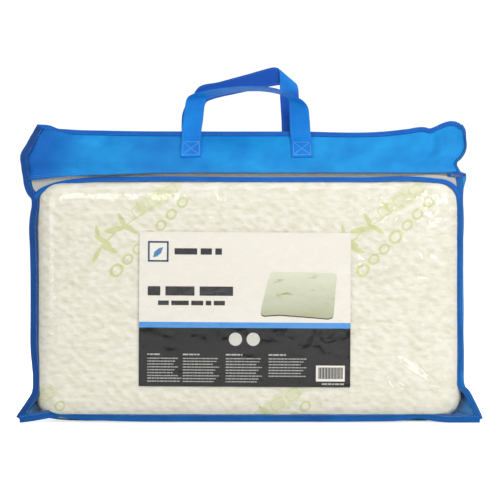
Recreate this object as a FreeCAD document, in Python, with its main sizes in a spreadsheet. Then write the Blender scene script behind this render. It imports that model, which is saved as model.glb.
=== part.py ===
import FreeCAD, Part

import os
import re

import Sketcher
from FreeCAD import Placement, Rotation, Vector

# A moulded foam bed pillow in its knit cover, packed upright in a zipped carry bag.
# X runs along the pillow, -Y is the clear front of the bag, +Z is up.
# The origin is the middle of the base, which rests on the floor. All sizes are in millimetres.

sizes = {
    # pillow, as the bag holds it
    "pillowLength": 586.0,
    "pillowHeight": 334.0,
    "pillowDepth": 112.0,
    "edgeRadius": 45.0,
    "coverSkin": 2.0,
    "linerSkin": 0.6,
    "nestGap": 0.3,
    # bag skins and the room round the pillow that the card lies in
    "cavityGap": 1.2,
    "filmSkin": 0.4,
    "clothSkin": 0.8,
    "gussetDepth": 80.0,
    "cardLength": 286.0,
    "cardSkin": 0.4,
    "cardCentre": -4.6,
    "cardRise": 2.6,
    "cardInset": 32.4,
    # bound seams and the ears at the bag's corners
    "seamWidth": 11.0,
    "seamSkin": 2.0,
    "bindingSkin": 1.5,
    "bindingHeight": 6.2,
    "earReach": 26.0,
    "earRise": 33.05,
    "earDrop": 4.95,
    "earTip": 8.0,
    "topEarReach": 15.4,
    "topEarDrop": 32.0,
    "topEarLength": 97.0,
    # header above the zip
    "chainRoom": 6.4,
    "hemHeight": 6.0,
    "headerRise": 45.4,
    "topSeamHeight": 6.0,
    "leafSkin": 1.0,
    "leafGap": 0.2,
    # coil zips, the same chain on the bag and on the pillow's cover
    "coilWidth": 1.6,
    "coilSkin": 2.0,
    "chainGap": 0.9,
    "tapeSkin": 0.5,
    "tapeWidth": 6.6,
    "tapeLift": 0.05,
    "coverSlot": 8.4,
    "coverZipLength": 480.0,
    "zipInset": 2.05,
    "stopLength": 2.0,
    "slideGap": 0.3,
    "bridgeGap": 0.2,
    "sliderLength": 11.0,
    "sliderWidth": 5.6,
    "sliderPlate": 1.0,
    "bridgeLength": 2.0,
    "endGap": 2.5,
    "pinRadius": 0.6,
    "pinLift": 1.7,
    "eyeWidth": 2.8,
    "eyeWall": 0.62,
    "runGap": 0.06,
    "lugGap": 0.2,
    "lugSkin": 0.9,
    "pullLength": 20.0,
    "pullWidth": 5.6,
    "pullSkin": 1.0,
    "neckLength": 2.4,
    # strap handles
    "strapWidth": 27.0,
    "strapSkin": 2.0,
    "strapSpan": 151.0,
    "strapOffset": -2.6,
    "tabHeight": 36.0,
    "tabGap": 0.2,
    "hingeGap": 1.6,
    "hingeClear": 0.8,
    "handleLean": 10.0,
    "topRun": 9.0,
    "frontRise": 56.0,
    "frontShoulder": 22.0,
    "backRise": 86.0,
    "backShoulder": 38.0,
    "topSpan": 112.0,
    # care label by the cover's zip
    "labelLength": 30.0,
    "labelHeight": 18.0,
    "labelSkin": 0.4,
    "labelInset": 60.0,
}

# Places worked out from the sizes. q is a distance forward or back from the middle plane.
formulas = {
    "pillowBottom": "clothSkin + cavityGap",
    "pillowTop": "pillowBottom + pillowHeight",
    "gussetHalf": "gussetDepth / 2",
    "cavityHalf": "pillowLength / 2 + cavityGap",
    "cavityRadius": "edgeRadius + cavityGap",
    "filmRadius": "cavityRadius + filmSkin",
    "clothRadius": "cavityRadius + clothSkin",
    "roundX": "pillowLength / 2 - edgeRadius",
    "roundQ": "pillowDepth / 2 - edgeRadius",
    "roundZ": "pillowTop - edgeRadius",
    "seamBack": "gussetHalf - seamSkin / 2",
    "seamBulge": "sqrt(clothRadius^2 - (seamBack - roundQ)^2)",
    "seamInner": "roundX + seamBulge + nestGap",
    "seamOuter": "seamInner + seamWidth",
    "seamFloorTop": "pillowBottom + edgeRadius - seamBulge - nestGap",
    "earHeight": "seamFloorTop + earRise",
    "cardBottom": "pillowBottom + edgeRadius + cardRise",
    "cardHeight": "roundZ - cardInset - cardBottom",
    "filmTop": "roundZ + sqrt(filmRadius^2 - (gussetHalf - roundQ)^2)",
    "bindingBottom": "filmTop - tapeSkin",
    "bindingTop": "bindingBottom + bindingHeight",
    "bindingQ": "roundQ + sqrt(filmRadius^2 - (bindingBottom - roundZ)^2) + nestGap",
    "chainQ": "bindingQ - tapeSkin / 2 - 0.1",
    "chainZ": "bindingTop + chainRoom / 2",
    "chainHalf": "chainGap / 2 + coilWidth",
    "hemBottom": "bindingTop + chainRoom",
    "hemTop": "hemBottom + hemHeight",
    "hemQ": "chainQ + tapeSkin / 2 + nestGap",
    "seamBase": "hemTop + headerRise",
    "seamTop": "seamBase + topSeamHeight",
    "leafInner": "leafGap + clothSkin + leafGap",
    "leafOuter": "leafInner + leafSkin",
    "backEdge": "roundZ + sqrt(cavityRadius^2 - (gussetHalf - roundQ)^2)",
    "earOuter": "seamInner + earTip + earReach",
    "earInner": "seamInner + earReach",
    "tabQ": "leafOuter + tabGap",
    "hingeZ": "seamTop + leafGap + leafSkin + hingeGap",
    "hingeQ": "tabQ + strapSkin",
    "tabTop": "hingeZ - hingeGap - hingeClear",
    "tabBottom": "seamTop - tabHeight",
    "bagZipHalf": "seamInner - zipInset",
    "coverZipHalf": "coverZipLength / 2",
    "labelQ": "chainHalf + tapeWidth + nestGap",
    "labelFoot": "roundZ + sqrt(edgeRadius^2 - max(labelQ - roundQ; 0)^2) + nestGap",
    "coverChainZ": "max(pillowTop + tapeSkin / 2 + tapeLift; pillowTop - coverSkin + plateHigh)",
    "plateLow": "coilSkin / 2 + slideGap",
    "plateHigh": "plateLow + sliderPlate",
    "pinHeight": "plateHigh + pinLift",
    "eyeRadius": "pinRadius + runGap + eyeWall",
}

functionNames = {"sqrt", "max"}

doc = FreeCAD.newDocument("PillowInBag")


def makeSheet():
    sheet = doc.addObject("Spreadsheet::Sheet", "dims")
    for row, (name, value) in enumerate(sizes.items(), start=1):
        sheet.set(f"A{row}", name)
        sheet.set(f"B{row}", str(value))
        sheet.setAlias(f"B{row}", name)
    doc.recompute()
    return sheet


def expand(text):
    # Turns a formula in plain names into one that reads the sheet's cells.
    def lookUp(match):
        name = match.group(0)
        if name in functionNames:
            return name
        if name in formulas:
            return "(" + expand(formulas[name]) + ")"
        if name in sizes:
            return "dims." + name
        raise ValueError("no size is called " + name)

    return re.sub(r"[A-Za-z]\w*", lookUp, str(text))


def bind(item, name, text):
    item.setExpression(name, expand(text))


def place(item, x="0", y="0", z="0"):
    bind(item, "Placement.Base.x", x)
    bind(item, "Placement.Base.y", y)
    bind(item, "Placement.Base.z", z)


class Frame:
    # A zip's own frame: X along the chain, Y across it, Z outward. A turned frame faces -Y.
    def __init__(self, y, z, turned):
        self.y, self.z, self.turned = y, z, turned

    def put(self, item, x, y, z, spun=0):
        if self.turned:
            item.Placement = Placement(Vector(), Rotation(Vector(1, 0, 0), 90 + spun))
            place(item, x, f"{self.y} - ({z})", f"{self.z} + ({y})")
        else:
            item.Placement = Placement(Vector(), Rotation(Vector(1, 0, 0), spun))
            place(item, x, f"{self.y} + ({y})", f"{self.z} + ({z})")


def makeBox(label, length, width, height):
    box = doc.addObject("Part::Box", label)
    bind(box, "Length", length)
    bind(box, "Width", width)
    bind(box, "Height", height)
    return box


def boxBetween(label, low, high):
    spans = [f"({b}) - ({a})" for a, b in zip(low, high)]
    box = makeBox(label, *spans)
    place(box, *low)
    return box


def combine(kind, label, base, tool):
    result = doc.addObject("Part::" + kind, label)
    result.Base = base
    result.Tool = tool
    return result


def fuse(label, shapes):
    result = doc.addObject("Part::MultiFuse", label)
    result.Shapes = shapes
    return result


def roundedBlock(label, offset):
    # The pillow's outline grown or shrunk by an offset, with every edge rounded.
    body = doc.addObject("PartDesign::Body", label)
    block = body.newObject("PartDesign::AdditiveBox", label + "Block")
    bind(block, "Length", f"pillowLength + 2 * ({offset})")
    bind(block, "Width", f"pillowDepth + 2 * ({offset})")
    bind(block, "Height", f"pillowHeight + 2 * ({offset})")
    doc.recompute()
    rounding = body.newObject("PartDesign::Fillet", label + "Rounding")
    rounding.Base = (block, [f"Edge{number}" for number in range(1, 13)])
    bind(rounding, "Radius", f"edgeRadius + ({offset})")
    place(
        body,
        f"-pillowLength / 2 - ({offset})",
        f"-pillowDepth / 2 - ({offset})",
        f"pillowBottom - ({offset})",
    )
    return body


def drawOutline(body, role, points, lift="0"):
    # A closed outline on one of the body's own planes. Each corner is tied to the sheet.
    sketch = body.newObject("Sketcher::SketchObject", body.Name + "Outline")
    plane = next(item for item in body.Origin.OriginFeatures if item.Role == role)
    sketch.AttachmentSupport = [(plane, "")]
    sketch.MapMode = "FlatFace"
    bind(sketch, "AttachmentOffset.Base.z", lift)
    places = [[sketch.evalExpression(expand(text)) for text in point] for point in points]
    corners = [Vector(*[float(value) for value in pair], 0) for pair in places]
    count = len(corners)
    for index, corner in enumerate(corners):
        sketch.addGeometry(Part.LineSegment(corner, corners[(index + 1) % count]), False)
    for index in range(count):
        following = (index + 1) % count
        sketch.addConstraint(Sketcher.Constraint("Coincident", index, 2, following, 1))
    for index, (corner, texts) in enumerate(zip(corners, points)):
        for kind, value, text in zip(("DistanceX", "DistanceY"), corner, texts):
            rule = sketch.addConstraint(
                Sketcher.Constraint(kind, -1, 1, index, 1, value)
            )
            name = f"{kind}{index}"
            sketch.renameConstraint(rule, name)
            bind(sketch, "Constraints." + name, text)
    return sketch


def padOutline(label, role, points, depth, lift="0"):
    body = doc.addObject("PartDesign::Body", label)
    sketch = drawOutline(body, role, points, lift)
    pad = body.newObject("PartDesign::Pad", label + "Pad")
    pad.Profile = sketch
    bind(pad, "Length", depth)
    return body


def faceSheet(label, skin, sign):
    # A wide face of the bag with its two floor ears. sign is -1 at the front, 1 at the back.
    outer = roundedBlock(label + "Outer", f"cavityGap + {skin}")
    shell = combine("Cut", label + "Shell", outer, cavity)
    near, far = "gussetHalf", "pillowDepth"
    low, high = (f"-{far}", f"-{near}") if sign < 0 else (near, far)
    region = boxBetween(
        label + "Region",
        ("-pillowLength", low, "-pillowHeight"),
        ("pillowLength", high, "filmTop"),
    )
    pieces = [combine("Common", label + "Bulge", shell, region)]
    for side, word in ((-1, "Left"), (1, "Right")):
        ear = padOutline(
            label + "Ear" + word,
            "XZ_Plane",
            [
                (f"{side} * (seamInner - nestGap)", "earHeight"),
                (f"{side} * (earInner - 2 * nestGap)", "seamFloorTop + nestGap"),
                (f"{side} * (seamInner - earHeight)", "seamFloorTop + nestGap"),
            ],
            skin,
        )
        place(ear, y="-gussetHalf" if sign < 0 else f"gussetHalf + {skin}")
        pieces.append(combine("Cut", label + "EarPlate" + word, ear, cavity))
    return pieces


def makePillow():
    core = roundedBlock("foam_core", "-coverSkin - linerSkin - 2 * nestGap")
    linerInner = roundedBlock("LinerInner", "-coverSkin - linerSkin - nestGap")
    linerOuter = roundedBlock("LinerOuter", "-coverSkin - nestGap")
    liner = combine("Cut", "core_liner", linerOuter, linerInner)
    coverInner = roundedBlock("CoverInner", "-coverSkin")
    coverOuter = roundedBlock("CoverOuter", "0")
    cover = combine("Cut", "CoverShell", coverOuter, coverInner)
    slot = boxBetween(
        "CoverSlot",
        ("-coverZipHalf - stopLength", "-coverSlot / 2", "pillowTop - 2 * coverSkin"),
        ("coverZipHalf + stopLength", "coverSlot / 2", "pillowTop + coverSkin"),
    )
    slotted = combine("Cut", "SlottedCover", cover, slot)
    frontHalf = boxBetween(
        "CoverFrontHalf",
        ("-pillowLength", "-pillowDepth", "-pillowHeight"),
        ("pillowLength", "0", "2 * pillowHeight"),
    )
    backHalf = boxBetween(
        "CoverBackHalf",
        ("-pillowLength", "0", "-pillowHeight"),
        ("pillowLength", "pillowDepth", "2 * pillowHeight"),
    )
    front = combine("Common", "cover_front", slotted, frontHalf)
    back = combine("Common", "cover_back", slotted, backHalf)
    label = boxBetween(
        "care_label",
        ("labelInset - coverZipHalf", "labelQ", "labelFoot"),
        (
            "labelInset - coverZipHalf + labelLength",
            "labelQ + labelSkin",
            "labelFoot + labelHeight",
        ),
    )
    card = boxBetween(
        "insert_card",
        (
            "cardCentre - cardLength / 2",
            "-pillowDepth / 2 - (cavityGap + cardSkin) / 2",
            "cardBottom",
        ),
        (
            "cardCentre + cardLength / 2",
            "-pillowDepth / 2 - (cavityGap - cardSkin) / 2",
            "cardBottom + cardHeight",
        ),
    )
    return [core, liner, front, back, label, card]


def headerStrip(label, sign, lowQ, lowZ):
    # A band of cloth that stands, slopes in to the top seam and stands again inside it.
    profile = [
        (f"{lowQ} + clothSkin", lowZ),
        (f"{lowQ} + clothSkin", "hemTop"),
        ("leafGap + clothSkin", "seamBase"),
        ("leafGap + clothSkin", "seamTop"),
        ("leafGap", "seamTop"),
        ("leafGap", "seamBase"),
        (lowQ, "hemTop"),
        (lowQ, lowZ),
    ]
    points = [(f"{sign} * ({q})", z) for q, z in profile]
    strip = padOutline(label, "YZ_Plane", points, "2 * cavityHalf")
    place(strip, x="-cavityHalf")
    return strip


def makeSideGusset(label, side):
    region = boxBetween(
        label + "Region",
        ("roundX" if side > 0 else "-pillowLength", "-gussetHalf", "-pillowHeight"),
        ("pillowLength" if side > 0 else "-roundX", "gussetHalf", "roundZ"),
    )
    wall = combine("Common", label + "Wall", clothShell, region)
    upper = padOutline(
        label + "Upper",
        "YZ_Plane",
        [
            ("-seamBack", "roundZ"),
            ("seamBack", "roundZ"),
            ("seamBack", "hemTop"),
            ("leafGap", "seamBase"),
            ("leafGap", "seamTop"),
            ("-leafGap", "seamTop"),
            ("-leafGap", "seamBase"),
            ("-seamBack", "hemTop"),
        ],
        "clothSkin",
    )
    place(upper, x="cavityHalf" if side > 0 else "-cavityHalf - clothSkin")
    reach = "cavityHalf + clothSkin / 2"
    outline = [
        (reach, "seamTop - topEarLength"),
        (f"{reach} + topEarReach / 2", "seamTop - 2 * topEarDrop - clothSkin"),
        (f"{reach} + topEarReach", "seamTop - topEarDrop"),
        (f"{reach} + clothSkin", "seamTop + clothSkin"),
        (reach, "seamTop - clothSkin"),
    ]
    points = [(f"{side} * ({x})", z) for x, z in outline]
    fin = padOutline(label + "Fin", "XZ_Plane", points, "2 * clothSkin")
    place(fin, y="clothSkin")
    return fuse(label, [wall, upper, fin])


def makeSeamBinding(label, side, sign, top):
    # A bound side seam that runs down the bag and out round the floor ear.
    outline = [
        ("seamInner", top),
        ("seamOuter", top),
        ("seamOuter", "earHeight - earTip / 2"),
        ("earOuter", "seamFloorTop - earDrop"),
        ("earOuter", "0"),
        ("earInner", "0"),
        ("earInner", "seamFloorTop + nestGap"),
        ("seamInner", "earHeight"),
    ]
    points = [(f"{side} * ({x})", z) for x, z in outline]
    binding = padOutline(label, "XZ_Plane", points, "seamSkin")
    place(binding, y=f"{sign} * gussetHalf + seamSkin / 2")
    return binding


def makeBag():
    pieces = [fuse("window_film", faceSheet("Film", "filmSkin", -1))]
    strip = headerStrip("BackStrip", 1, "gussetHalf", "backEdge")
    pieces.append(fuse("back_panel", faceSheet("Back", "clothSkin", 1) + [strip]))
    pieces.append(headerStrip("front_band", -1, "hemQ", "hemBottom"))
    pieces.append(makeSideGusset("gusset_left", -1))
    pieces.append(makeSideGusset("gusset_right", 1))
    floor = boxBetween(
        "FloorRegion",
        ("-roundX", "-gussetHalf", "-pillowHeight"),
        ("roundX", "gussetHalf", "edgeRadius"),
    )
    pieces.append(combine("Common", "gusset_bottom", clothShell, floor))
    for face, sign, top in (("front", -1, "bindingTop"), ("back", 1, "backEdge - nestGap")):
        for word, side in (("left", -1), ("right", 1)):
            pieces.append(makeSeamBinding(f"{face}_binding_{word}", side, sign, top))
        pieces.append(
            boxBetween(
                f"{face}_binding_bottom",
                ("nestGap - earInner", f"{sign} * gussetHalf - seamSkin / 2", "0"),
                ("earInner - nestGap", f"{sign} * gussetHalf + seamSkin / 2", "seamFloorTop"),
            )
        )
    pieces.append(
        boxBetween(
            "window_binding",
            ("nestGap - seamInner", "-bindingQ - bindingSkin", "bindingBottom"),
            ("seamInner - nestGap", "-bindingQ", "bindingTop"),
        )
    )
    profile = [
        ("-leafOuter", "seamBase + leafGap"),
        ("-leafInner", "seamBase + leafGap"),
        ("-leafInner", "seamTop + leafGap"),
        ("leafInner", "seamTop + leafGap"),
        ("leafInner", "seamBase + leafGap"),
        ("leafOuter", "seamBase + leafGap"),
        ("leafOuter", "seamTop + leafGap + leafSkin"),
        ("-leafOuter", "seamTop + leafGap + leafSkin"),
    ]
    topBinding = padOutline("top_binding", "YZ_Plane", profile, "2 * cavityHalf")
    place(topBinding, x="-cavityHalf")
    pieces.append(topBinding)
    return pieces


def makeChain(prefix, frame, half, tapes):
    # Two coil halves, their tapes and the stops at both ends. tapes maps a name to an edge.
    pieces = []
    for word, side in tapes:
        coil = makeBox(f"{prefix}_coil_{word}", f"2 * {half}", "coilWidth", "coilSkin")
        low = "chainGap / 2" if side > 0 else "-chainHalf"
        frame.put(coil, f"-{half}", low, "-coilSkin / 2")
        width = tapes[word, side]
        tape = makeBox(f"{prefix}_tape_{word}", f"2 * {half}", width, "tapeSkin")
        low = "chainHalf" if side > 0 else f"-chainHalf - ({width})"
        frame.put(tape, f"-{half}", low, "-tapeSkin / 2")
        pieces += [coil, tape]
    stops = []
    for side, start in ((-1, f"-{half} - stopLength"), (1, half)):
        stop = makeBox(f"{prefix}Stop{side + 2}", "stopLength", "2 * chainHalf", "coilSkin")
        frame.put(stop, start, "-chainHalf", "-coilSkin / 2")
        stops.append(stop)
    group = doc.addObject("Part::Compound", f"{prefix}_stops")
    group.Links = stops
    pieces.append(group)
    return pieces


def makeSlider(prefix, frame, centre):
    # Two plates, the bridge between the coils and two lugs that hold the pull's pin.
    plateArea = ("sliderLength", "sliderWidth", "sliderPlate")
    left = f"{centre} - sliderLength / 2"
    top = makeBox(prefix + "TopPlate", *plateArea)
    frame.put(top, left, "-sliderWidth / 2", "plateLow")
    bottom = makeBox(prefix + "BottomPlate", *plateArea)
    frame.put(bottom, left, "-sliderWidth / 2", "-plateHigh")
    bridge = makeBox(
        prefix + "Bridge", "bridgeLength", "chainGap - 2 * bridgeGap", "2 * plateHigh"
    )
    nose = f"{centre} + sliderLength / 2 - bridgeLength"
    frame.put(bridge, nose, "bridgeGap - chainGap / 2", "-plateHigh")
    parts = [top, bottom, bridge]
    lugInner = "(eyeWidth / 2 + lugGap)"
    lugLength = "3 * pinRadius"
    for word, low in (("Near", f"-{lugInner} - lugSkin"), ("Far", lugInner)):
        lug = makeBox(prefix + "Lug" + word, lugLength, "lugSkin", "pinLift + 1.5 * pinRadius")
        frame.put(lug, f"{centre} - {lugLength} / 2", low, "plateHigh")
        parts.append(lug)
    pin = doc.addObject("Part::Cylinder", prefix + "Pin")
    bind(pin, "Radius", "pinRadius")
    bind(pin, "Height", f"2 * ({lugInner} + lugSkin)")
    frame.put(pin, centre, f"{lugInner} + lugSkin", "pinHeight", spun=90)
    parts.append(pin)
    return fuse(prefix + "_slider", parts)


def makePull(prefix, frame, centre):
    # The eye that turns on the slider's pin, a neck between the lugs and the tab to hold.
    eye = doc.addObject("Part::Cylinder", prefix + "Eye")
    bind(eye, "Radius", "eyeRadius")
    bind(eye, "Height", "eyeWidth")
    frame.put(eye, centre, "eyeWidth / 2", "pinHeight", spun=90)
    neck = makeBox(prefix + "Neck", "neckLength + pullSkin", "eyeWidth", "pullSkin")
    frame.put(neck, f"{centre} + pinRadius / 2", "-eyeWidth / 2", "pinHeight - pullSkin / 2")
    tab = makeBox(prefix + "Tab", "pullLength - neckLength", "pullWidth", "pullSkin")
    frame.put(tab, f"{centre} + neckLength", "-pullWidth / 2", "pinHeight - pullSkin / 2")
    solid = fuse(prefix + "PullSolid", [eye, neck, tab])
    hole = doc.addObject("Part::Cylinder", prefix + "PullHole")
    bind(hole, "Radius", "pinRadius + runGap")
    bind(hole, "Height", "2 * eyeWidth")
    frame.put(hole, centre, "eyeWidth", "pinHeight", spun=90)
    return combine("Cut", prefix + "_pull", solid, hole)


def makeZips():
    bagFrame = Frame("-chainQ", "chainZ", turned=True)
    lowerTape = "chainZ - chainHalf - filmTop - nestGap"
    bagTapes = {("lower", -1): lowerTape, ("upper", 1): "tapeWidth"}
    pieces = makeChain("bag_zip", bagFrame, "bagZipHalf", bagTapes)
    coverFrame = Frame("0", "coverChainZ", turned=False)
    coverTapes = {("front", -1): "tapeWidth", ("back", 1): "tapeWidth"}
    pieces += makeChain("cover_zip", coverFrame, "coverZipHalf", coverTapes)
    rest = "{} - endGap - sliderLength / 2"
    for prefix, frame, half in (
        ("bag_zip", bagFrame, "bagZipHalf"),
        ("cover_zip", coverFrame, "coverZipHalf"),
    ):
        pieces.append(makeSlider(prefix, frame, rest.format(half)))
        pieces.append(makePull(prefix, frame, rest.format(half)))
    return pieces


def makeTab(label, side, sign, hem):
    # The sewn end of a strap: it lies on the sloping cloth, then stands over the top seam.
    slope = f"(({hem} - leafGap) / headerRise)"
    stretch = f"sqrt(1 + {slope}^2)"
    cloth = "leafGap + clothSkin"
    rear = f"{cloth} + tabGap * {stretch}"
    front = f"{cloth} + (tabGap + strapSkin) * {stretch}"
    foot = f"{slope} * (seamBase - tabBottom)"
    profile = [
        (f"{rear} + {foot}", "tabBottom"),
        (f"{front} + {foot}", "tabBottom"),
        ("tabQ + strapSkin", f"seamBase - (tabQ + strapSkin - ({front})) / {slope}"),
        ("tabQ + strapSkin", "tabTop"),
        ("tabQ", "tabTop"),
        ("tabQ", f"seamBase - (tabQ - ({rear})) / {slope}"),
    ]
    points = [(f"{sign} * ({q})", z) for q, z in profile]
    tab = padOutline(label, "YZ_Plane", points, "strapWidth")
    place(tab, x=f"strapOffset + {side} * strapSpan / 2 - strapWidth / 2")
    return tab


def makeLoop(label, sign, rise, shoulder):
    # The free part of a strap. It stands on its hinge line and leans away from the other one.
    outer = "(strapSpan + strapWidth) / 2"
    inner = "(strapSpan - strapWidth) / 2"
    half = [
        (outer, "hingeGap"),
        (outer, f"{rise} - {shoulder}"),
        ("topSpan / 2", rise),
    ]
    inside = [
        (inner, "hingeGap"),
        (inner, f"{rise} - {shoulder} - topRun / 2"),
        ("topSpan / 2 - topRun", f"{rise} - topRun"),
    ]
    points = [(x, z) for x, z in half]
    points += [(f"-({x})", z) for x, z in reversed(half)]
    points += [(f"-({x})", z) for x, z in inside]
    points += [(x, z) for x, z in reversed(inside)]
    loop = padOutline(label, "XZ_Plane", points, "strapSkin", lift="-strapSkin / 2")
    loop.Placement = Placement(Vector(), Rotation(Vector(1, 0, 0), 1))
    bind(loop, "Placement.Rotation.Angle", f"{-sign} * handleLean")
    place(loop, "strapOffset", f"{sign} * hingeQ", "hingeZ")
    return loop


def makeHandles():
    pieces = []
    faces = (
        ("front", -1, "hemQ", "frontRise", "frontShoulder"),
        ("back", 1, "gussetHalf", "backRise", "backShoulder"),
    )
    for face, sign, hem, rise, shoulder in faces:
        for word, side in (("left", -1), ("right", 1)):
            pieces.append(makeTab(f"{face}_handle_tab_{word}", side, sign, hem))
        pieces.append(makeLoop(f"{face}_handle_loop", sign, rise, shoulder))
    return pieces


def checkDocument(nodes):
    for item in doc.Objects:
        bad = [state for state in item.State if state in ("Invalid", "Error")]
        if bad:
            raise RuntimeError(f"{item.Label} is {bad}")
    for node in nodes:
        shape = node.Shape
        if shape.isNull() or not shape.isValid() or not shape.Solids:
            raise RuntimeError(f"{node.Label} has no valid solid")


makeSheet()
cavity = roundedBlock("Cavity", "cavityGap")
clothOuter = roundedBlock("ClothOuter", "cavityGap + clothSkin")
clothShell = combine("Cut", "ClothShell", clothOuter, cavity)
nodes = makePillow() + makeBag() + makeZips() + makeHandles()
doc.recompute()
checkDocument(nodes)

os.makedirs("parts", exist_ok=True)
for node in nodes:
    node.Shape.exportStep(f"parts/{node.Label}.step")
    bounds = node.Shape.BoundBox
    print(
        f"{node.Label:26s} solids {len(node.Shape.Solids)} volume {node.Shape.Volume:12.1f}"
        f"  x {bounds.XMin:7.1f} {bounds.XMax:7.1f}  y {bounds.YMin:6.1f} {bounds.YMax:6.1f}"
        f"  z {bounds.ZMin:6.1f} {bounds.ZMax:6.1f}"
    )
for name in ("hingeQ", "hingeZ", "chainQ", "chainZ", "coverChainZ", "pinHeight"):
    value = doc.getObject("dims").evalExpression(expand(name))
    print(name, round(float(value), 4))
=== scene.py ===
import math

import bmesh
import bpy
import numpy as np
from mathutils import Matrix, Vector, noise


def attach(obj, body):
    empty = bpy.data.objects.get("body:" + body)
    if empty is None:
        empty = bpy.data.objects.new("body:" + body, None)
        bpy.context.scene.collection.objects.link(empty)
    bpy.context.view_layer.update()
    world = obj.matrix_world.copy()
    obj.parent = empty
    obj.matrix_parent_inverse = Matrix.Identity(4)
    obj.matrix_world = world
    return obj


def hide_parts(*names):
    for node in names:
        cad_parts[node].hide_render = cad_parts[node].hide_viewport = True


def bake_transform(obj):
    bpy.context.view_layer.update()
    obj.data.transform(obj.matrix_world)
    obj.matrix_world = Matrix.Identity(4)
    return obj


# Foam bed pillow in a knit cover, packed upright in a zipped carry bag.
# Lengths below are in millimetres and turn to metres where a mesh is made.
# X runs along the pillow, -Y is the clear front of the bag, Z is up, the floor is at 0.

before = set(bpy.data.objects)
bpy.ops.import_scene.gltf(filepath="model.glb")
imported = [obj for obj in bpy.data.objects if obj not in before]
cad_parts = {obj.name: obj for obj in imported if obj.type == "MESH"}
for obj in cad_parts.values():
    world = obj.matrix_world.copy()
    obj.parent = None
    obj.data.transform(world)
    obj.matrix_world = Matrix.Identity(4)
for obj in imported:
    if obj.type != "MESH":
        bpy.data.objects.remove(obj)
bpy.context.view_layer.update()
mm = 0.001
bagBody = "pillow_in_bag"
print("frame loaded", len(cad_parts), "nodes")


def linear(hexColour):
    # sRGB hex to the linear colour that a shader wants
    parts = [int(hexColour[i:i + 2], 16) / 255 for i in (1, 3, 5)]
    return tuple(c / 12.92 if c <= 0.04045 else ((c + 0.055) / 1.055) ** 2.4 for c in parts) + (1.0,)


def addNode(tree, kind, inputs=None, links=None, **settings):
    # one node with its settings, its plain values and what feeds it
    node = tree.nodes.new(kind)
    for name, value in settings.items():
        setattr(node, name, value)
    for name, value in (inputs or {}).items():
        node.inputs[name].default_value = value
    for name, source in (links or {}).items():
        tree.links.new(source, node.inputs[name])
    return node


def newMaterial(name):
    material = bpy.data.materials.new(name)
    material.use_nodes = True
    material.node_tree.nodes.clear()
    return material, material.node_tree


def closeMaterial(tree, shader):
    addNode(tree, "ShaderNodeOutputMaterial", links={"Surface": shader.outputs[0]})


def ease(low, high, value):
    # 0 below low, 1 above high, smooth between
    t = np.clip((np.asarray(value, float) - low) / (high - low), 0, 1)
    return t * t * (3 - 2 * t)


def smoothLine(points, count):
    # evenly spaced points on a smooth line through the given ones
    pts = np.array(points, float)
    reach = np.concatenate([[0], np.cumsum(np.linalg.norm(np.diff(pts, axis=0), axis=1))])
    slopes = np.gradient(pts, reach, axis=0)
    fine = np.linspace(0, reach[-1], 30 * len(pts))
    cell = np.clip(np.searchsorted(reach, fine, side="right") - 1, 0, len(pts) - 2)
    span = (reach[cell + 1] - reach[cell])[:, None]
    t = ((fine - reach[cell])[:, None]) / span
    dense = ((2 * t**3 - 3 * t**2 + 1) * pts[cell] + (t**3 - 2 * t**2 + t) * span * slopes[cell]
             + (3 * t**2 - 2 * t**3) * pts[cell + 1] + (t**3 - t**2) * span * slopes[cell + 1])
    along = np.concatenate([[0], np.cumsum(np.linalg.norm(np.diff(dense, axis=0), axis=1))])
    want = np.linspace(0, along[-1], count)
    return np.stack([np.interp(want, along, dense[:, k]) for k in range(pts.shape[1])], axis=1)


def patch(bottom, top, left, right):
    # a net between four border lines; each is an array of (x, z) and they meet at the corners
    u = np.linspace(0, 1, len(bottom))[None, :, None]
    v = np.linspace(0, 1, len(left))[:, None, None]
    across = (1 - v) * bottom[None] + v * top[None]
    upward = (1 - u) * left[:, None] + u * right[:, None]
    corners = ((1 - u) * (1 - v) * bottom[0] + u * (1 - v) * bottom[-1]
               + (1 - u) * v * top[0] + u * v * top[-1])
    return across + upward - corners


def wander(x, z, size, seed):
    # soft noise from -1 to 1 over features of that size in mm
    flat = np.stack([np.ravel(x), np.ravel(z)], axis=1) / size
    values = [noise.noise(Vector((a, b, seed * 7.31))) for a, b in flat]
    return np.array(values).reshape(np.shape(x))


def newMesh(name, points, faces, uvs=None):
    mesh = bpy.data.meshes.new(name)
    mesh.from_pydata([tuple(p) for p in np.asarray(points, float) * mm], [], faces)
    if uvs is not None:
        layer = mesh.uv_layers.new(name="UVMap")
        flat = np.array([uvs[v] for face in faces for v in face], np.float32)
        layer.data.foreach_set("uv", flat.ravel())
    mesh.update()
    obj = bpy.data.objects.new(name, mesh)
    bpy.context.scene.collection.objects.link(obj)
    return obj


def smoothFaces(obj, angle=None):
    bpy.ops.object.select_all(action="DESELECT")
    bpy.context.view_layer.objects.active = obj
    obj.select_set(True)
    if angle is None:
        bpy.ops.object.shade_smooth()
    else:
        bpy.ops.object.shade_smooth_by_angle(angle=math.radians(angle))
    obj.select_set(False)


def finishPiece(obj, body, material, angle=None, replaces=()):
    if material is not None:
        obj.data.materials.clear()
        obj.data.materials.append(material)
    smoothFaces(obj, angle)
    if body:
        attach(obj, body)
    if replaces:
        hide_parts(*replaces)
    return obj


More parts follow.
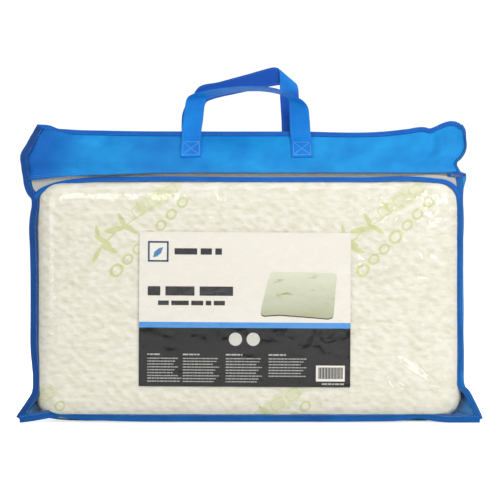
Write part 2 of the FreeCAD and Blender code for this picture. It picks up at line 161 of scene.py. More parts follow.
def netPiece(name, net, flip=False):
    # a sheet from a net of points (rows, columns, 3), with its own UV in metres along the cloth
    rows, columns = net.shape[:2]
    down = np.concatenate([[0], np.cumsum(np.linalg.norm(np.diff(net[:, columns // 2], axis=0), axis=1))])
    over = np.concatenate([[0], np.cumsum(np.linalg.norm(np.diff(net[rows // 2], axis=0), axis=1))])
    uvs = np.stack(np.meshgrid(over, down), axis=2).reshape(-1, 2) * mm
    faces = []
    for r in range(rows - 1):
        for c in range(columns - 1):
            a = r * columns + c
            quad = (a, a + 1, a + columns + 1, a + columns)
            faces.append(quad[::-1] if flip else quad)
    return newMesh(name, net.reshape(-1, 3), faces, uvs)


def setPaintedShade(obj, values):
    # one value a vertex, 1 where the cloth is painted fully into shade
    layer = obj.data.attributes.new("paintedShade", "FLOAT", "POINT")
    layer.data.foreach_set("value", np.asarray(values, np.float32))


def thicken(obj, skin, offset=-1.0):
    # real cloth has a skin: the sheet gets one and keeps its outer face
    layer = obj.modifiers.new("skin", "SOLIDIFY")
    layer.thickness = skin * mm
    layer.offset = offset
    layer.use_rim = True
    bpy.ops.object.select_all(action="DESELECT")
    bpy.context.view_layer.objects.active = obj
    obj.select_set(True)
    bpy.ops.object.modifier_apply(modifier=layer.name)
    obj.select_set(False)
    return obj


def sweptPiece(name, line, sides, section):
    # a strip swept along a line. sides are its width directions, section its (across, out) outline
    line, sides = np.asarray(line, float), np.asarray(sides, float)
    ahead = np.gradient(line, axis=0)
    ahead /= np.linalg.norm(ahead, axis=1)[:, None]
    sides = sides - ahead * (sides * ahead).sum(1)[:, None]
    sides /= np.linalg.norm(sides, axis=1)[:, None]
    out = np.cross(sides, ahead)
    count = len(section)
    points = np.concatenate([line[:, None] + sides[:, None] * a + out[:, None] * b
                             for a, b in section], axis=1).reshape(-1, 3)
    run = np.concatenate([[0], np.cumsum(np.linalg.norm(np.diff(line, axis=0), axis=1))]) * mm
    girth = np.concatenate([[0], np.cumsum([math.dist(section[i], section[(i + 1) % count])
                                            for i in range(count - 1)])]) * mm
    uvs = [(run[i], girth[j]) for i in range(len(line)) for j in range(count)]
    faces = []
    for i in range(len(line) - 1):
        for j in range(count):
            k = (j + 1) % count
            faces.append((i * count + j, i * count + k, (i + 1) * count + k, (i + 1) * count + j))
    last = (len(line) - 1) * count
    faces.append(tuple(range(count))[::-1])
    faces.append(tuple(range(last, last + count)))
    obj = newMesh(name, points, faces, uvs)
    turnOut(obj)
    return obj


def turnOut(obj):
    mesh = bmesh.new()
    mesh.from_mesh(obj.data)
    bmesh.ops.recalc_face_normals(mesh, faces=mesh.faces)
    mesh.to_mesh(obj.data)
    mesh.free()


def stripSection(width, thick, lip=0.35):
    # a folded strip seen end on: flat faces, soft edges and a slight crown
    w, t = width / 2, thick / 2
    return [(-w, -t * 0.5), (-w + lip, -t), (0, -t * 1.05), (w - lip, -t), (w, -t * 0.5),
            (w, t * 0.5), (w - lip, t), (w * 0.35, t * 1.12), (-w * 0.35, t * 1.12), (-w + lip, t), (-w, t * 0.5)]


def stitchPiece(name, lines, length=2.6, pitch=3.6, thick=0.5):
    # rows of lock stitches; each is a short thread that dips into the cloth at its ends
    points, faces = [], []
    for line, outward in lines:
        line = np.asarray(line, float)
        run = np.concatenate([[0], np.cumsum(np.linalg.norm(np.diff(line, axis=0), axis=1))])
        outward = np.broadcast_to(np.asarray(outward, float), line.shape)
        for k in range(int(run[-1] / pitch)):
            here = (k + 0.5) * pitch
            spots = [here - length / 2, here, here + length / 2]
            mid = [np.array([np.interp(s, run, line[:, a]) for a in range(3)]) for s in spots]
            out = np.array([np.interp(here, run, outward[:, a]) for a in range(3)])
            out /= np.linalg.norm(out)
            along = mid[2] - mid[0]
            side = np.cross(along, out)
            side /= max(np.linalg.norm(side), 1e-6)
            base = len(points)
            for p, swell in zip(mid, (0.35, 1, 0.35)):
                lift = (swell - 0.5) * thick * 0.7
                for a, b in ((1, 0), (0, 1), (-1, 0), (0, -1)):
                    points.append(p + out * lift + (side * a + out * b) * thick * swell / 2)
            for ring in (0, 4):
                for j in range(4):
                    k2 = (j + 1) % 4
                    faces.append((base + ring + j, base + ring + k2, base + ring + 4 + k2, base + ring + 4 + j))
            faces.append((base + 3, base + 2, base + 1, base))
            faces.append((base + 8, base + 9, base + 10, base + 11))
    obj = newMesh(name, points, faces)
    turnOut(obj)
    return obj


# Spunbond polypropylene: melt-blown fibres pressed flat with a field of small bonded dots.
# The eye sees a soft satin blue, a fine dimple pattern and faint cloudy patches.
def makeCloth(name, deep, light, rough=0.5, dotPitch=2.6, dotDepth=0.22, paintedShade=None):
    # real bonded dots sit 1.2 mm apart; they are drawn at 2.6 mm so that they show
    # paintedShade is a painted shade tone, mixed in from the mesh's own "paintedShade" attribute
    material, tree = newMaterial(name)
    uv = addNode(tree, "ShaderNodeTexCoord").outputs["UV"]
    turned = addNode(tree, "ShaderNodeMapping", {"Rotation": (0, 0, math.radians(45)),
                     "Scale": (2 * math.pi / (dotPitch * mm),) * 3}, {"Vector": uv})
    split = addNode(tree, "ShaderNodeSeparateXYZ", links={"Vector": turned.outputs[0]})
    waveX = addNode(tree, "ShaderNodeMath", links={0: split.outputs[0]}, operation="SINE")
    waveY = addNode(tree, "ShaderNodeMath", links={0: split.outputs[1]}, operation="SINE")
    dots = addNode(tree, "ShaderNodeMath", links={0: waveX.outputs[0], 1: waveY.outputs[0]}, operation="MULTIPLY")
    fibre = addNode(tree, "ShaderNodeTexNoise", {"Scale": 900.0, "Detail": 4.0, "Roughness": 0.6}, {"Vector": uv})
    cloud = addNode(tree, "ShaderNodeTexNoise", {"Scale": 26.0, "Detail": 3.0, "Roughness": 0.55}, {"Vector": uv})
    blend = addNode(tree, "ShaderNodeMath", {1: 0.12}, {0: dots.outputs[0], 2: cloud.outputs["Fac"]},
                    operation="MULTIPLY_ADD")
    colour = addNode(tree, "ShaderNodeValToRGB", links={"Fac": blend.outputs[0]})
    colour.color_ramp.elements[0].position, colour.color_ramp.elements[0].color = 0.22, linear(deep)
    colour.color_ramp.elements[1].position, colour.color_ramp.elements[1].color = 0.8, linear(light)
    height = addNode(tree, "ShaderNodeMath", {1: 0.5}, {0: fibre.outputs["Fac"], 2: dots.outputs[0]},
                     operation="MULTIPLY_ADD")
    bump = addNode(tree, "ShaderNodeBump", {"Strength": dotDepth, "Distance": 0.0006}, {"Height": height.outputs[0]})
    tone = colour.outputs["Color"]
    if paintedShade:
        # painted shade: the attribute says where the cloth is painted darker, as if in shade
        layers = addNode(tree, "ShaderNodeAttribute", attribute_name="paintedShade")
        paintedShadeMix = addNode(tree, "ShaderNodeMix", links={"Factor": layers.outputs["Fac"]}, data_type="RGBA")
        tree.links.new(tone, paintedShadeMix.inputs[6])
        paintedShadeMix.inputs[7].default_value = linear(paintedShade)
        tone = paintedShadeMix.outputs[2]
    skin = addNode(tree, "ShaderNodeBsdfPrincipled",
                   {"Roughness": rough, "Sheen Weight": 0.05, "Sheen Roughness": 0.4,
                   "Specular IOR Level": 0.2}, {"Base Color": tone, "Normal": bump.outputs[0]})
    closeMaterial(tree, skin)
    return material


# Polyester sewing thread, twisted from two plies: a slight shine and a lighter tone than the cloth.
def makeThread(name, tone):
    material, tree = newMaterial(name)
    spot = addNode(tree, "ShaderNodeTexCoord").outputs["Object"]
    twist = addNode(tree, "ShaderNodeTexNoise", {"Scale": 2500.0, "Detail": 1.0}, {"Vector": spot})
    tint = addNode(tree, "ShaderNodeMapRange", {"To Min": 0.82, "To Max": 1.08}, {"Value": twist.outputs["Fac"]})
    colour = addNode(tree, "ShaderNodeHueSaturation", {"Color": linear(tone)}, {"Value": tint.outputs[0]})
    skin = addNode(tree, "ShaderNodeBsdfPrincipled", {"Roughness": 0.45, "Sheen Weight": 0.3},
                   {"Base Color": colour.outputs[0]})
    closeMaterial(tree, skin)
    return material


# Cast PVC or EVA film, 0.2 mm: clear, slightly wavy from the calender, mirror-like where it turns away.
def makeFilm(name):
    material, tree = newMaterial(name)
    spot = addNode(tree, "ShaderNodeTexCoord").outputs["Object"]
    wave = addNode(tree, "ShaderNodeTexNoise", {"Scale": 38.0, "Detail": 2.5, "Roughness": 0.5,
                                                "Distortion": 0.6}, {"Vector": spot})
    bump = addNode(tree, "ShaderNodeBump", {"Strength": 0.35, "Distance": 0.004}, {"Height": wave.outputs["Fac"]})
    clear = addNode(tree, "ShaderNodeBsdfTransparent", {"Color": (0.985, 0.988, 0.99, 1)})
    gloss = addNode(tree, "ShaderNodeBsdfPrincipled",
                    {"Base Color": linear("#fbfcfd"), "Metallic": 1.0, "Roughness": 0.11},
                    {"Normal": bump.outputs[0]})
    turned = addNode(tree, "ShaderNodeLayerWeight", {"Blend": 0.5}, {"Normal": bump.outputs[0]})
    steep = addNode(tree, "ShaderNodeMath", {1: 5.0}, {0: turned.outputs["Facing"]}, operation="POWER")
    share = addNode(tree, "ShaderNodeMath", {1: 0.9, 2: 0.048}, {0: steep.outputs[0]}, operation="MULTIPLY_ADD")
    mixed = addNode(tree, "ShaderNodeMixShader", links={"Fac": share.outputs[0], 1: clear.outputs[0],
                                                        2: gloss.outputs[0]})
    closeMaterial(tree, mixed)
    return material


viewSize = {"distance": 3200.0, "width": 680.0, "centreX": 2.4, "centreZ": 234.6, "plane": -40.0}


def makeCamera():
    data = bpy.data.cameras.new("viewCamera")
    data.sensor_width = 36.0
    data.lens = 36.0 * viewSize["distance"] / viewSize["width"]
    data.clip_start, data.clip_end = 0.05, 60.0
    camera = bpy.data.objects.new("viewCamera", data)
    bpy.context.scene.collection.objects.link(camera)
    camera.location = Vector((viewSize["centreX"], viewSize["plane"] - viewSize["distance"],
                              viewSize["centreZ"])) * mm
    camera.rotation_euler = (math.pi / 2, 0, 0)
    bpy.context.scene.camera = camera


lamps = {
    # name: place, aim, size in metres, power in watts
    "keyRight": ((1.5, -1.7, 1.2), (0.0, 0.0, 0.2), (0.8, 0.8), 22.5),
    "fillLeft": ((-1.6, -1.9, 0.7), (0.0, 0.0, 0.2), (0.7, 1.1), 7.2),
    "glintRight": ((0.85, -2.7, 0.95), (0.1, 0.0, 0.2), (0.22, 1.1), 7.2),
    "glintLeft": ((-0.5, -2.7, 1.7), (0.1, 0.0, 0.2), (0.5, 0.9), 6.4),
    "topSoft": ((0.1, -0.5, 1.9), (0.0, 0.0, 0.2), (1.6, 1.0), 7.0),
    "backSoft": ((0.6, 1.9, 1.2), (0.0, 0.0, 0.2), (1.2, 1.0), 13.0),
}

room = {"forLight": 0.48, "inReflections": 0.26, "forCamera": 1.05}
floorGlow = 0.75  # seen by the camera only


def makeLight():
    for name, (place, aim, size, power) in lamps.items():
        data = bpy.data.lights.new(name, "AREA")
        data.shape = "RECTANGLE"
        data.size, data.size_y = size
        data.energy = power
        lamp = bpy.data.objects.new(name, data)
        lamp.location = place
        lamp.rotation_euler = (Vector(aim) - Vector(place)).to_track_quat("-Z", "Y").to_euler()
        bpy.context.scene.collection.objects.link(lamp)
    world = bpy.data.worlds.new("softRoom")
    bpy.context.scene.world = world
    world.use_nodes = True
    tree = world.node_tree
    tree.nodes.clear()
    path = addNode(tree, "ShaderNodeLightPath")
    mirrored = addNode(tree, "ShaderNodeMapRange", {"To Min": room["forLight"], "To Max": room["inReflections"]},
                       {"Value": path.outputs["Is Glossy Ray"]})
    strength = addNode(tree, "ShaderNodeMapRange", {"To Max": room["forCamera"]},
                       {"Value": path.outputs["Is Camera Ray"], "To Min": mirrored.outputs[0]})
    walls = addNode(tree, "ShaderNodeBackground", {"Color": (1, 1, 1, 1)}, {"Strength": strength.outputs[0]})
    addNode(tree, "ShaderNodeOutputWorld", links={"Surface": walls.outputs[0]})
    bpy.context.scene.view_settings.view_transform = "Standard"
    bpy.context.scene.view_settings.look = "None"


def makeFloor():
    # matt white studio table, with an even glow that only the camera sees
    bpy.ops.mesh.primitive_plane_add(size=60, location=(0, 0, -0.0006))
    floor = bpy.context.active_object
    floor.name = "studioFloor"
    material, tree = newMaterial("mattFloorPaint")
    spot = addNode(tree, "ShaderNodeTexCoord").outputs["Object"]
    grain = addNode(tree, "ShaderNodeTexNoise", {"Scale": 120.0}, {"Vector": spot})
    colour = addNode(tree, "ShaderNodeMapRange", {"To Min": 0.93, "To Max": 0.95}, {"Value": grain.outputs["Fac"]})
    skin = addNode(tree, "ShaderNodeBsdfPrincipled", {"Roughness": 0.9, "Specular IOR Level": 0.1},
                   {"Base Color": colour.outputs[0]})
    path = addNode(tree, "ShaderNodeLightPath")
    lift = addNode(tree, "ShaderNodeMath", {1: floorGlow}, {0: path.outputs["Is Camera Ray"]}, operation="MULTIPLY")
    glow = addNode(tree, "ShaderNodeEmission", {"Color": (1, 1, 1, 1)}, {"Strength": lift.outputs[0]})
    closeMaterial(tree, addNode(tree, "ShaderNodeAddShader", links={0: skin.outputs[0], 1: glow.outputs[0]}))
    floor.data.materials.append(material)


makeCamera()
makeLight()
makeFloor()
print("camera, light and floor made")


pillow = {"length": 586.0, "depth": 112.0, "height": 334.0, "base": 2.0, "edge": 45.0,
          "crown": 4.5, "full": 2.55, "shrink": 4.0, "voxel": 6.0, "pressure": 4.0, "frames": 20, "cap": 6.0,
          "inner": 1.3, "outer": 0.8, "ripple": 0.42}
pillowMid = pillow["base"] + pillow["height"] / 2
roundX = pillow["length"] / 2 - pillow["edge"]
roundQ = pillow["depth"] / 2 - pillow["edge"]
roundZ = pillow["height"] / 2 - pillow["edge"]


def crownAt(x, z):
    # how far the middle of a face stands beyond its flat edge
    a = np.clip(1 - (np.asarray(x) / (pillow["length"] / 2)) ** 2, 0, 1)
    b = np.clip(1 - ((np.asarray(z) - pillowMid) / (pillow["height"] / 2)) ** 2, 0, 1)
    return pillow["crown"] * a * b


def reliefAt(x, z):
    # short raised dashes of the knit, 12 mm long, on the 45 degree diagonal, in staggered rows
    a = (np.asarray(x) + np.asarray(z)) / math.sqrt(2)
    b = (np.asarray(x) - np.asarray(z)) / math.sqrt(2)
    row = np.floor(b / 7.0)
    return np.sin(2 * np.pi * (a / 15.0 + 0.5 * (row % 2))) * np.sin(np.pi * (b / 7.0 - row))


def roundedForm(name, offset, segments):
    # a block with rounded edges, offset from the pillow's size
    p = pillow
    bpy.ops.object.select_all(action="DESELECT")
    bpy.ops.mesh.primitive_cube_add(size=1, location=(0, 0, pillowMid * mm))
    obj = bpy.context.active_object
    obj.name = name
    obj.scale = ((p["length"] + 2 * offset) * mm, (p["depth"] + 2 * offset) * mm, (p["height"] + 2 * offset) * mm)
    bpy.ops.object.transform_apply(location=True, rotation=True, scale=True)
    bpy.ops.object.mode_set(mode="EDIT")
    bpy.ops.mesh.select_all(action="SELECT")
    bpy.ops.mesh.bevel(offset=(p["edge"] + offset) * mm, offset_type="OFFSET", segments=segments, affect="EDGES")
    bpy.ops.object.mode_set(mode="OBJECT")
    return obj


def settleOnForm(mesh, inner, outer):
    # keeps each point within a thin layer round the crowned block, and adds the knit's relief
    count = len(mesh.vertices)
    co = np.zeros(count * 3)
    mesh.vertices.foreach_get("co", co)
    p = co.reshape(-1, 3) / mm
    stretch = (pillow["depth"] / 2 + crownAt(p[:, 0], p[:, 2])) / (pillow["depth"] / 2)
    q = p.copy()
    q[:, 1] /= stretch
    q[:, 2] -= pillowMid
    core = np.array([roundX, roundQ, roundZ])
    near = np.clip(q, -core, core)
    away = q - near
    length = np.linalg.norm(away, axis=1)
    away /= np.maximum(length, 1e-6)[:, None]
    full = (np.abs(away) ** pillow["full"]).sum(1) ** (-1 / pillow["full"])  # fuller than round at the edges
    gap = np.clip(length - pillow["edge"] * full, -inner, outer)
    face = ease(0.55, 0.9, np.abs(away[:, 1]))
    gap = gap + face * pillow["ripple"] * reliefAt(p[:, 0], p[:, 2])
    gap = np.where(away[:, 2] > 0.9, np.minimum(gap, -0.3), gap)  # the zip lies flat on the long top side
    q = near + away * (pillow["edge"] * full + gap)[:, None]
    q[:, 2] += pillowMid
    q[:, 1] *= stretch
    mesh.vertices.foreach_set("co", (q * mm).ravel())
    mesh.update()


def simulateCover(cover):
    # the knit is blown against itself for a few frames, so that it takes on its own soft puckers
    rest = np.zeros(len(cover.data.vertices) * 3)
    cover.data.vertices.foreach_get("co", rest)
    cloth = cover.modifiers.new("knit", "CLOTH")
    settings = cloth.settings
    settings.use_pressure = True
    settings.uniform_pressure_force = pillow["pressure"]
    settings.quality = 5
    settings.mass = 0.25
    settings.effector_weights.gravity = 0.0
    settings.tension_stiffness = settings.compression_stiffness = 12.0
    settings.bending_stiffness = 0.4
    cloth.point_cache.frame_start, cloth.point_cache.frame_end = 1, pillow["frames"]
    for step in range(1, pillow["frames"] + 1):
        bpy.context.scene.frame_set(step)
    shown = cover.evaluated_get(bpy.context.evaluated_depsgraph_get())
    moved = np.zeros(len(cover.data.vertices) * 3)
    shown.data.vertices.foreach_get("co", moved)
    cover.modifiers.remove(cloth)
    bpy.context.scene.frame_set(1)
    shift = (moved - rest).reshape(-1, 3)
    far = np.linalg.norm(shift, axis=1)
    shift *= np.minimum(1, pillow["cap"] * mm / np.maximum(far, 1e-9))[:, None]
    cover.data.vertices.foreach_set("co", rest + shift.ravel())
    cover.data.update()


# Viscose and polyester double knit: matt ivory yarn with a raised dash pattern,
# and a pale yellow-green sprig print. The eye sees soft ripples and a faint motif.
sprig = {
    "repeat": 333.0, "start": -300.0, "rowDrop": -276.0, "strength": 0.8, "fieldStrength": 0.42, "ink": "#c9cf8e",
    "ringTilt": 45, "ringSquash": 0.82, "ringLine": 0.42, "tileLine": 0.6,
    # shape: centre x, centre z, half length, half width, angle
    "leaves": [(-181, 262, 15, 4.0, 12), (-196, 247, 14, 3.6, 148), (-170, 273, 13, 3.4, 118),
               (-188, 236, 13, 3.6, -22),
               (-204, 258, 11, 3.0, 100), (-159, 263, 12, 3.2, -35), (-146, 292, 10, 2.8, 128),
               (-205, 228, 12, 3.0, 62)],
    "stalk": [(-188, 250, 30, 1.0, 47), (-150, 279, 24, 0.9, 34)],
    "rings": [(-178, 207, 10.5), (-163, 222, 8.5), (-149, 236, 8.5), (-134, 252, 10.5),
              (-118, 268, 8.5), (-104, 283, 8.5), (-89, 299, 8.5)],
    "leafField": (-122, 305, 37, 12.5, 34),
    "tiles": [(-148, 288, 9.5, 7.5, 32), (-127, 302, 9.5, 7.5, 32), (-106, 315, 9.5, 7.5, 32)],
}


def makeKnit(name, printed=True):
    material, tree = newMaterial(name)
    spot = addNode(tree, "ShaderNodeTexCoord").outputs["Object"]
    split = addNode(tree, "ShaderNodeSeparateXYZ", links={"Vector": spot})
    # fine wales of the knit; real ones are 1 mm apart, drawn at 1.9 mm so that they show
    turned = addNode(tree, "ShaderNodeMapping", {"Rotation": (0, math.radians(45), 0)}, {"Vector": spot})
    yarn = addNode(tree, "ShaderNodeTexWave", {"Scale": 1 / (1.9 * mm) / 6.2832 * 0.31, "Distortion": 2.2,
                                               "Detail": 2.0,
                   "Detail Scale": 2.2}, {"Vector": turned.outputs[0]}, bands_direction="X")
    fuzz = addNode(tree, "ShaderNodeTexNoise", {"Scale": 1400.0, "Detail": 3.0}, {"Vector": spot})
    dash = addNode(tree, "ShaderNodeTexNoise", {"Scale": 1.0, "Detail": 2.0, "Roughness": 0.5},
                   {"Vector": addNode(tree, "ShaderNodeMapping",
                                      {"Rotation": (0, math.radians(-45), 0), "Scale": (62, 90, 150)},
                                      {"Vector": spot}).outputs[0]})
    height = addNode(tree, "ShaderNodeMath", {1: 0.25}, {0: yarn.outputs["Fac"], 2: dash.outputs["Fac"]},
                     operation="MULTIPLY_ADD")
    height = addNode(tree, "ShaderNodeMath", {1: 0.16}, {0: fuzz.outputs["Fac"], 2: height.outputs[0]},
                     operation="MULTIPLY_ADD")
    bump = addNode(tree, "ShaderNodeBump", {"Strength": 0.95, "Distance": 0.0026}, {"Height": height.outputs[0]})
    ground = addNode(tree, "ShaderNodeValToRGB", links={"Fac": dash.outputs["Fac"]})
    ground.color_ramp.elements[0].position, ground.color_ramp.elements[0].color = 0.3, linear("#dcd8c2")
    ground.color_ramp.elements[1].position, ground.color_ramp.elements[1].color = 0.62, linear("#ebe7d9")
    base = ground.outputs["Color"]
    if printed:
        base = addSprigs(tree, split, base)
    skin = addNode(tree, "ShaderNodeBsdfPrincipled", {"Roughness": 0.85, "Sheen Weight": 0.2, "Sheen Roughness": 0.5,
                   "Specular IOR Level": 0.2}, {"Base Color": base, "Normal": bump.outputs[0]})
    closeMaterial(tree, skin)
    return material


def addSprigs(tree, split, base):
    # the motif repeats along the cloth, and its second row sits half a repeat over and lower
    total = None
    for shiftX, shiftZ in ((0.0, 0.0), (sprig["repeat"] / 2, sprig["rowDrop"])):
        wrapped = addNode(tree, "ShaderNodeMath", {1: (sprig["start"] + shiftX + sprig["repeat"]) * mm,
                          2: (sprig["start"] + shiftX) * mm}, {0: split.outputs[0]}, operation="WRAP")
        flat = addNode(tree, "ShaderNodeCombineXYZ", links={"X": wrapped.outputs[0], "Y": split.outputs[2]})

        def shapeMask(x, z, halfLength, halfWidth, angle, ring=0.0, square=False):
            local = addNode(tree, "ShaderNodeMapping", {"Location": ((x + shiftX) * mm, (z + shiftZ) * mm, 0),
                            "Rotation": (0, 0, math.radians(angle)), "Scale": (halfLength * mm, halfWidth * mm, 1)},
                            {"Vector": flat.outputs[0]}, vector_type="TEXTURE")
            if square:
                parts = addNode(tree, "ShaderNodeSeparateXYZ", links={"Vector": local.outputs[0]})
                fourth = [addNode(tree, "ShaderNodeMath", {1: power},
                                  {0: addNode(tree, "ShaderNodeMath", links={0: parts.outputs[k]},
                          operation="ABSOLUTE").outputs[0]}, operation="POWER") for k, power in ((0, 6.0), (1, 4.0))]
                distance = addNode(tree, "ShaderNodeMath",
                                   links={0: fourth[0].outputs[0], 1: fourth[1].outputs[0]}, operation="ADD")
                measure = distance.outputs[0]
            else:
                measure = addNode(tree, "ShaderNodeVectorMath", links={0: local.outputs[0]},
                                  operation="LENGTH").outputs["Value"]
            if ring:
                inner = addNode(tree, "ShaderNodeMath", {1: 1.0 - ring / 2}, {0: measure}, operation="SUBTRACT")
                measure = addNode(tree, "ShaderNodeMath", {1: 2.0 / ring}, {0: addNode(tree, "ShaderNodeMath",
                                  links={0: inner.outputs[0]}, operation="ABSOLUTE").outputs[0]},
                                  operation="MULTIPLY").outputs[0]
            edge = addNode(tree, "ShaderNodeMapRange",
                           {"From Min": 1.06, "From Max": 0.9, "To Min": 0.0, "To Max": 1.0},
                           {"Value": measure})
            return edge.outputs[0]

        masks = [shapeMask(*leaf) for leaf in sprig["leaves"]] + [shapeMask(*bar) for bar in sprig["stalk"]]
        masks += [shapeMask(x, z, size, size * sprig["ringSquash"], sprig["ringTilt"],
                            ring=sprig["ringLine"]) for x, z, size in sprig["rings"]]
        masks += [shapeMask(*tile, ring=sprig["tileLine"], square=True) for tile in sprig["tiles"]]
        for mask in masks:
            if total is None:
                total = mask
            else:
                total = addNode(tree, "ShaderNodeMath", links={0: total, 1: mask}, operation="MAXIMUM").outputs[0]
        pale = addNode(tree, "ShaderNodeMath", {1: sprig["fieldStrength"]}, {0: shapeMask(*sprig["leafField"])},
                       operation="MULTIPLY")
        total = addNode(tree, "ShaderNodeMath", links={0: total, 1: pale.outputs[0]}, operation="MAXIMUM").outputs[0]
    worn = addNode(tree, "ShaderNodeMath", {1: sprig["strength"]}, {0: total}, operation="MULTIPLY")
    dyed = addNode(tree, "ShaderNodeMix", links={"Factor": worn.outputs[0]}, data_type="RGBA", blend_type="MIX")
    tree.links.new(base, dyed.inputs[6])
    dyed.inputs[7].default_value = linear(sprig["ink"])
    return dyed.outputs[2]


def makePillow():
    cover = roundedForm("pillowCover", -pillow["shrink"], 10)
    remesh = cover.modifiers.new("evenMesh", "REMESH")
    remesh.mode = "VOXEL"
    remesh.voxel_size = pillow["voxel"] * mm
    bpy.ops.object.modifier_apply(modifier=remesh.name)
    simulateCover(cover)
    print("cover settled")
    divide = cover.modifiers.new("finer", "SUBSURF")
    divide.levels = divide.render_levels = 1
    bpy.ops.object.select_all(action="DESELECT")
    bpy.context.view_layer.objects.active = cover
    cover.select_set(True)
    bpy.ops.object.modifier_apply(modifier=divide.name)
    settleOnForm(cover.data, pillow["inner"], pillow["outer"])
    finishPiece(cover, bagBody, makeKnit("viscoseKnit"), replaces=("cover_front", "cover_back"))
    return cover


# Cut polyurethane memory foam: matt, closed to the touch, with tiny open cells.
def makeFoam(name):
    material, tree = newMaterial(name)
    spot = addNode(tree, "ShaderNodeTexCoord").outputs["Object"]
    cells = addNode(tree, "ShaderNodeTexVoronoi", {"Scale": 700.0}, {"Vector": spot})
    cloud = addNode(tree, "ShaderNodeTexNoise", {"Scale": 18.0}, {"Vector": spot})
    colour = addNode(tree, "ShaderNodeValToRGB", links={"Fac": cloud.outputs["Fac"]})
    colour.color_ramp.elements[0].color, colour.color_ramp.elements[1].color = linear("#e9e2c2"), linear("#f3eed6")
    bump = addNode(tree, "ShaderNodeBump", {"Strength": 0.5, "Distance": 0.0008},
                   {"Height": cells.outputs["Distance"]})
    skin = addNode(tree, "ShaderNodeBsdfPrincipled", {"Roughness": 0.95, "Specular IOR Level": 0.15},
                   {"Base Color": colour.outputs["Color"], "Normal": bump.outputs[0]})
    closeMaterial(tree, skin)
    return material


# Cotton jersey sleeve: thin, matt, with fine vertical wales.
def makeJersey(name, tone="#eeeeea"):
    material, tree = newMaterial(name)
    spot = addNode(tree, "ShaderNodeTexCoord").outputs["Object"]
    wales = addNode(tree, "ShaderNodeTexWave", {"Scale": 180.0, "Distortion": 1.2, "Detail": 1.0},
                    {"Vector": spot}, bands_direction="X")
    tint = addNode(tree, "ShaderNodeMapRange", {"To Min": 0.9, "To Max": 1.0}, {"Value": wales.outputs["Fac"]})
    colour = addNode(tree, "ShaderNodeHueSaturation", {"Color": linear(tone)}, {"Value": tint.outputs[0]})
    bump = addNode(tree, "ShaderNodeBump", {"Strength": 0.3, "Distance": 0.0005}, {"Height": wales.outputs["Fac"]})
    skin = addNode(tree, "ShaderNodeBsdfPrincipled", {"Roughness": 0.9, "Specular IOR Level": 0.2},
                   {"Base Color": colour.outputs[0], "Normal": bump.outputs[0]})
    closeMaterial(tree, skin)
    return material


def makeInside():
    core = roundedForm("foamCore", -3.2, 8)
    finishPiece(core, bagBody, makeFoam("memoryFoam"), replaces=("foam_core",))
    liner = roundedForm("jerseyLiner", -2.3, 8)
    finishPiece(liner, bagBody, makeJersey("cottonJersey"), replaces=("core_liner",))


makePillow()
makeInside()
print("pillow made")


bag = {"seamQ": 40.5, "stripWidth": 11.0, "clothSkin": 0.7, "gap": 1.2, "cardGap": 1.0}

# each line runs upward or to the right, as (x, z), at the middle of its binding
filmLeft = [(-311, 5), (-307, 11), (-301.5, 19), (-295.5, 28), (-289.5, 38), (-287.3, 50), (-288.5, 77), (-290, 93),
            (-290.5, 150), (-290.5, 183), (-291.5, 240), (-292.5, 265), (-291.3, 281), (-289, 296), (-290, 306)]
filmRight = [(315, 4), (312, 11.6), (308, 20), (303.5, 29), (297, 41), (289.5, 49), (287, 58), (288, 75),
             (288.5, 110),
             (287.4, 134), (286.2, 166), (286.6, 190), (287.4, 240), (288.6, 272), (288.2, 290), (287.3, 304)]
filmBottom = [(-311, 5), (-290, 8), (-270, 11.5), (-258, 13), (-240, 10.5), (-180, 7.5), (-60, 6.6), (60, 6.6),
              (150, 6.8),
              (215, 8.5), (236, 11), (246, 8.5), (264, 6), (290, 4.6), (315, 4)]
filmTop = [(-290, 306), (-283.5, 313.5), (-272, 319.6), (-248.5, 326), (-221.5, 329.2), (-150, 330.9), (0, 330.4),
           (150, 330.2), (250, 329), (270.5, 325.6), (279.6, 319.8), (284.6, 312), (287.3, 304)]
headLeft = [(-290, 306), (-296, 314), (-299.5, 324), (-301, 335), (-304, 350), (-306, 363), (-299.5, 377),
            (-294, 389), (-286.5, 403)]
headRight = [(287.3, 304), (288.2, 318), (287, 330), (284, 340), (280, 350), (281.5, 356.5), (288.5, 363),
             (294.5, 374),
             (295, 388), (294.5, 399), (291, 405)]
bandLow = [(-301, 329), (-285, 330.2), (-270, 332), (-249, 334), (-188, 336.7), (-100, 339.3), (0, 339.6),
           (110, 339.6),
           (192, 339.4), (250, 339.3), (275, 339.6), (287, 340)]
ridge = [(-286.5, 403), (-272, 402.4), (-264, 399), (-250, 397.6), (-190, 395.6), (-60, 394.6), (60, 394.6),
         (192, 395),
         (219, 398), (242, 400.6), (250, 398.8), (257, 401), (269, 406.5), (279.6, 409), (286, 408), (291, 405)]


def seamDepth(z):
    # how far forward a side seam stands: upright beside the pillow, then in to the top seam
    z = np.asarray(z, float)
    lean = np.clip((z - 341) / (394 - 341), 0, 1)
    return bag["seamQ"] + 1.2 * ease(300, 335, z) - (bag["seamQ"] - 0.6) * lean ** 0.96


def formFront(x, z, gap):
    # the pillow's face seen square on; far away where there is no pillow
    x, z = np.asarray(x, float), np.asarray(z, float)
    dx = np.maximum(np.abs(x) - roundX, 0)
    dz = np.maximum(np.abs(z - pillowMid) - roundZ, 0)
    power, edge = pillow["full"], pillow["edge"] + gap
    left = edge ** power - dx ** power - dz ** power
    inside = left > 0
    lift = roundQ + np.maximum(left, 0) ** (1 / power) + crownAt(x, z)
    return np.where(inside, lift, -500.0)


def drape(fixed, start, floorOf, rounds=500):
    # pulls a skin taut over what it covers, with its held points left where they are
    q = start.copy()
    for _ in range(rounds):
        mean = q.copy()
        mean[1:-1, 1:-1] = (q[:-2, 1:-1] + q[2:, 1:-1] + q[1:-1, :-2] + q[1:-1, 2:]) / 4
        q = np.where(fixed, start, np.maximum(mean, floorOf))
    return q


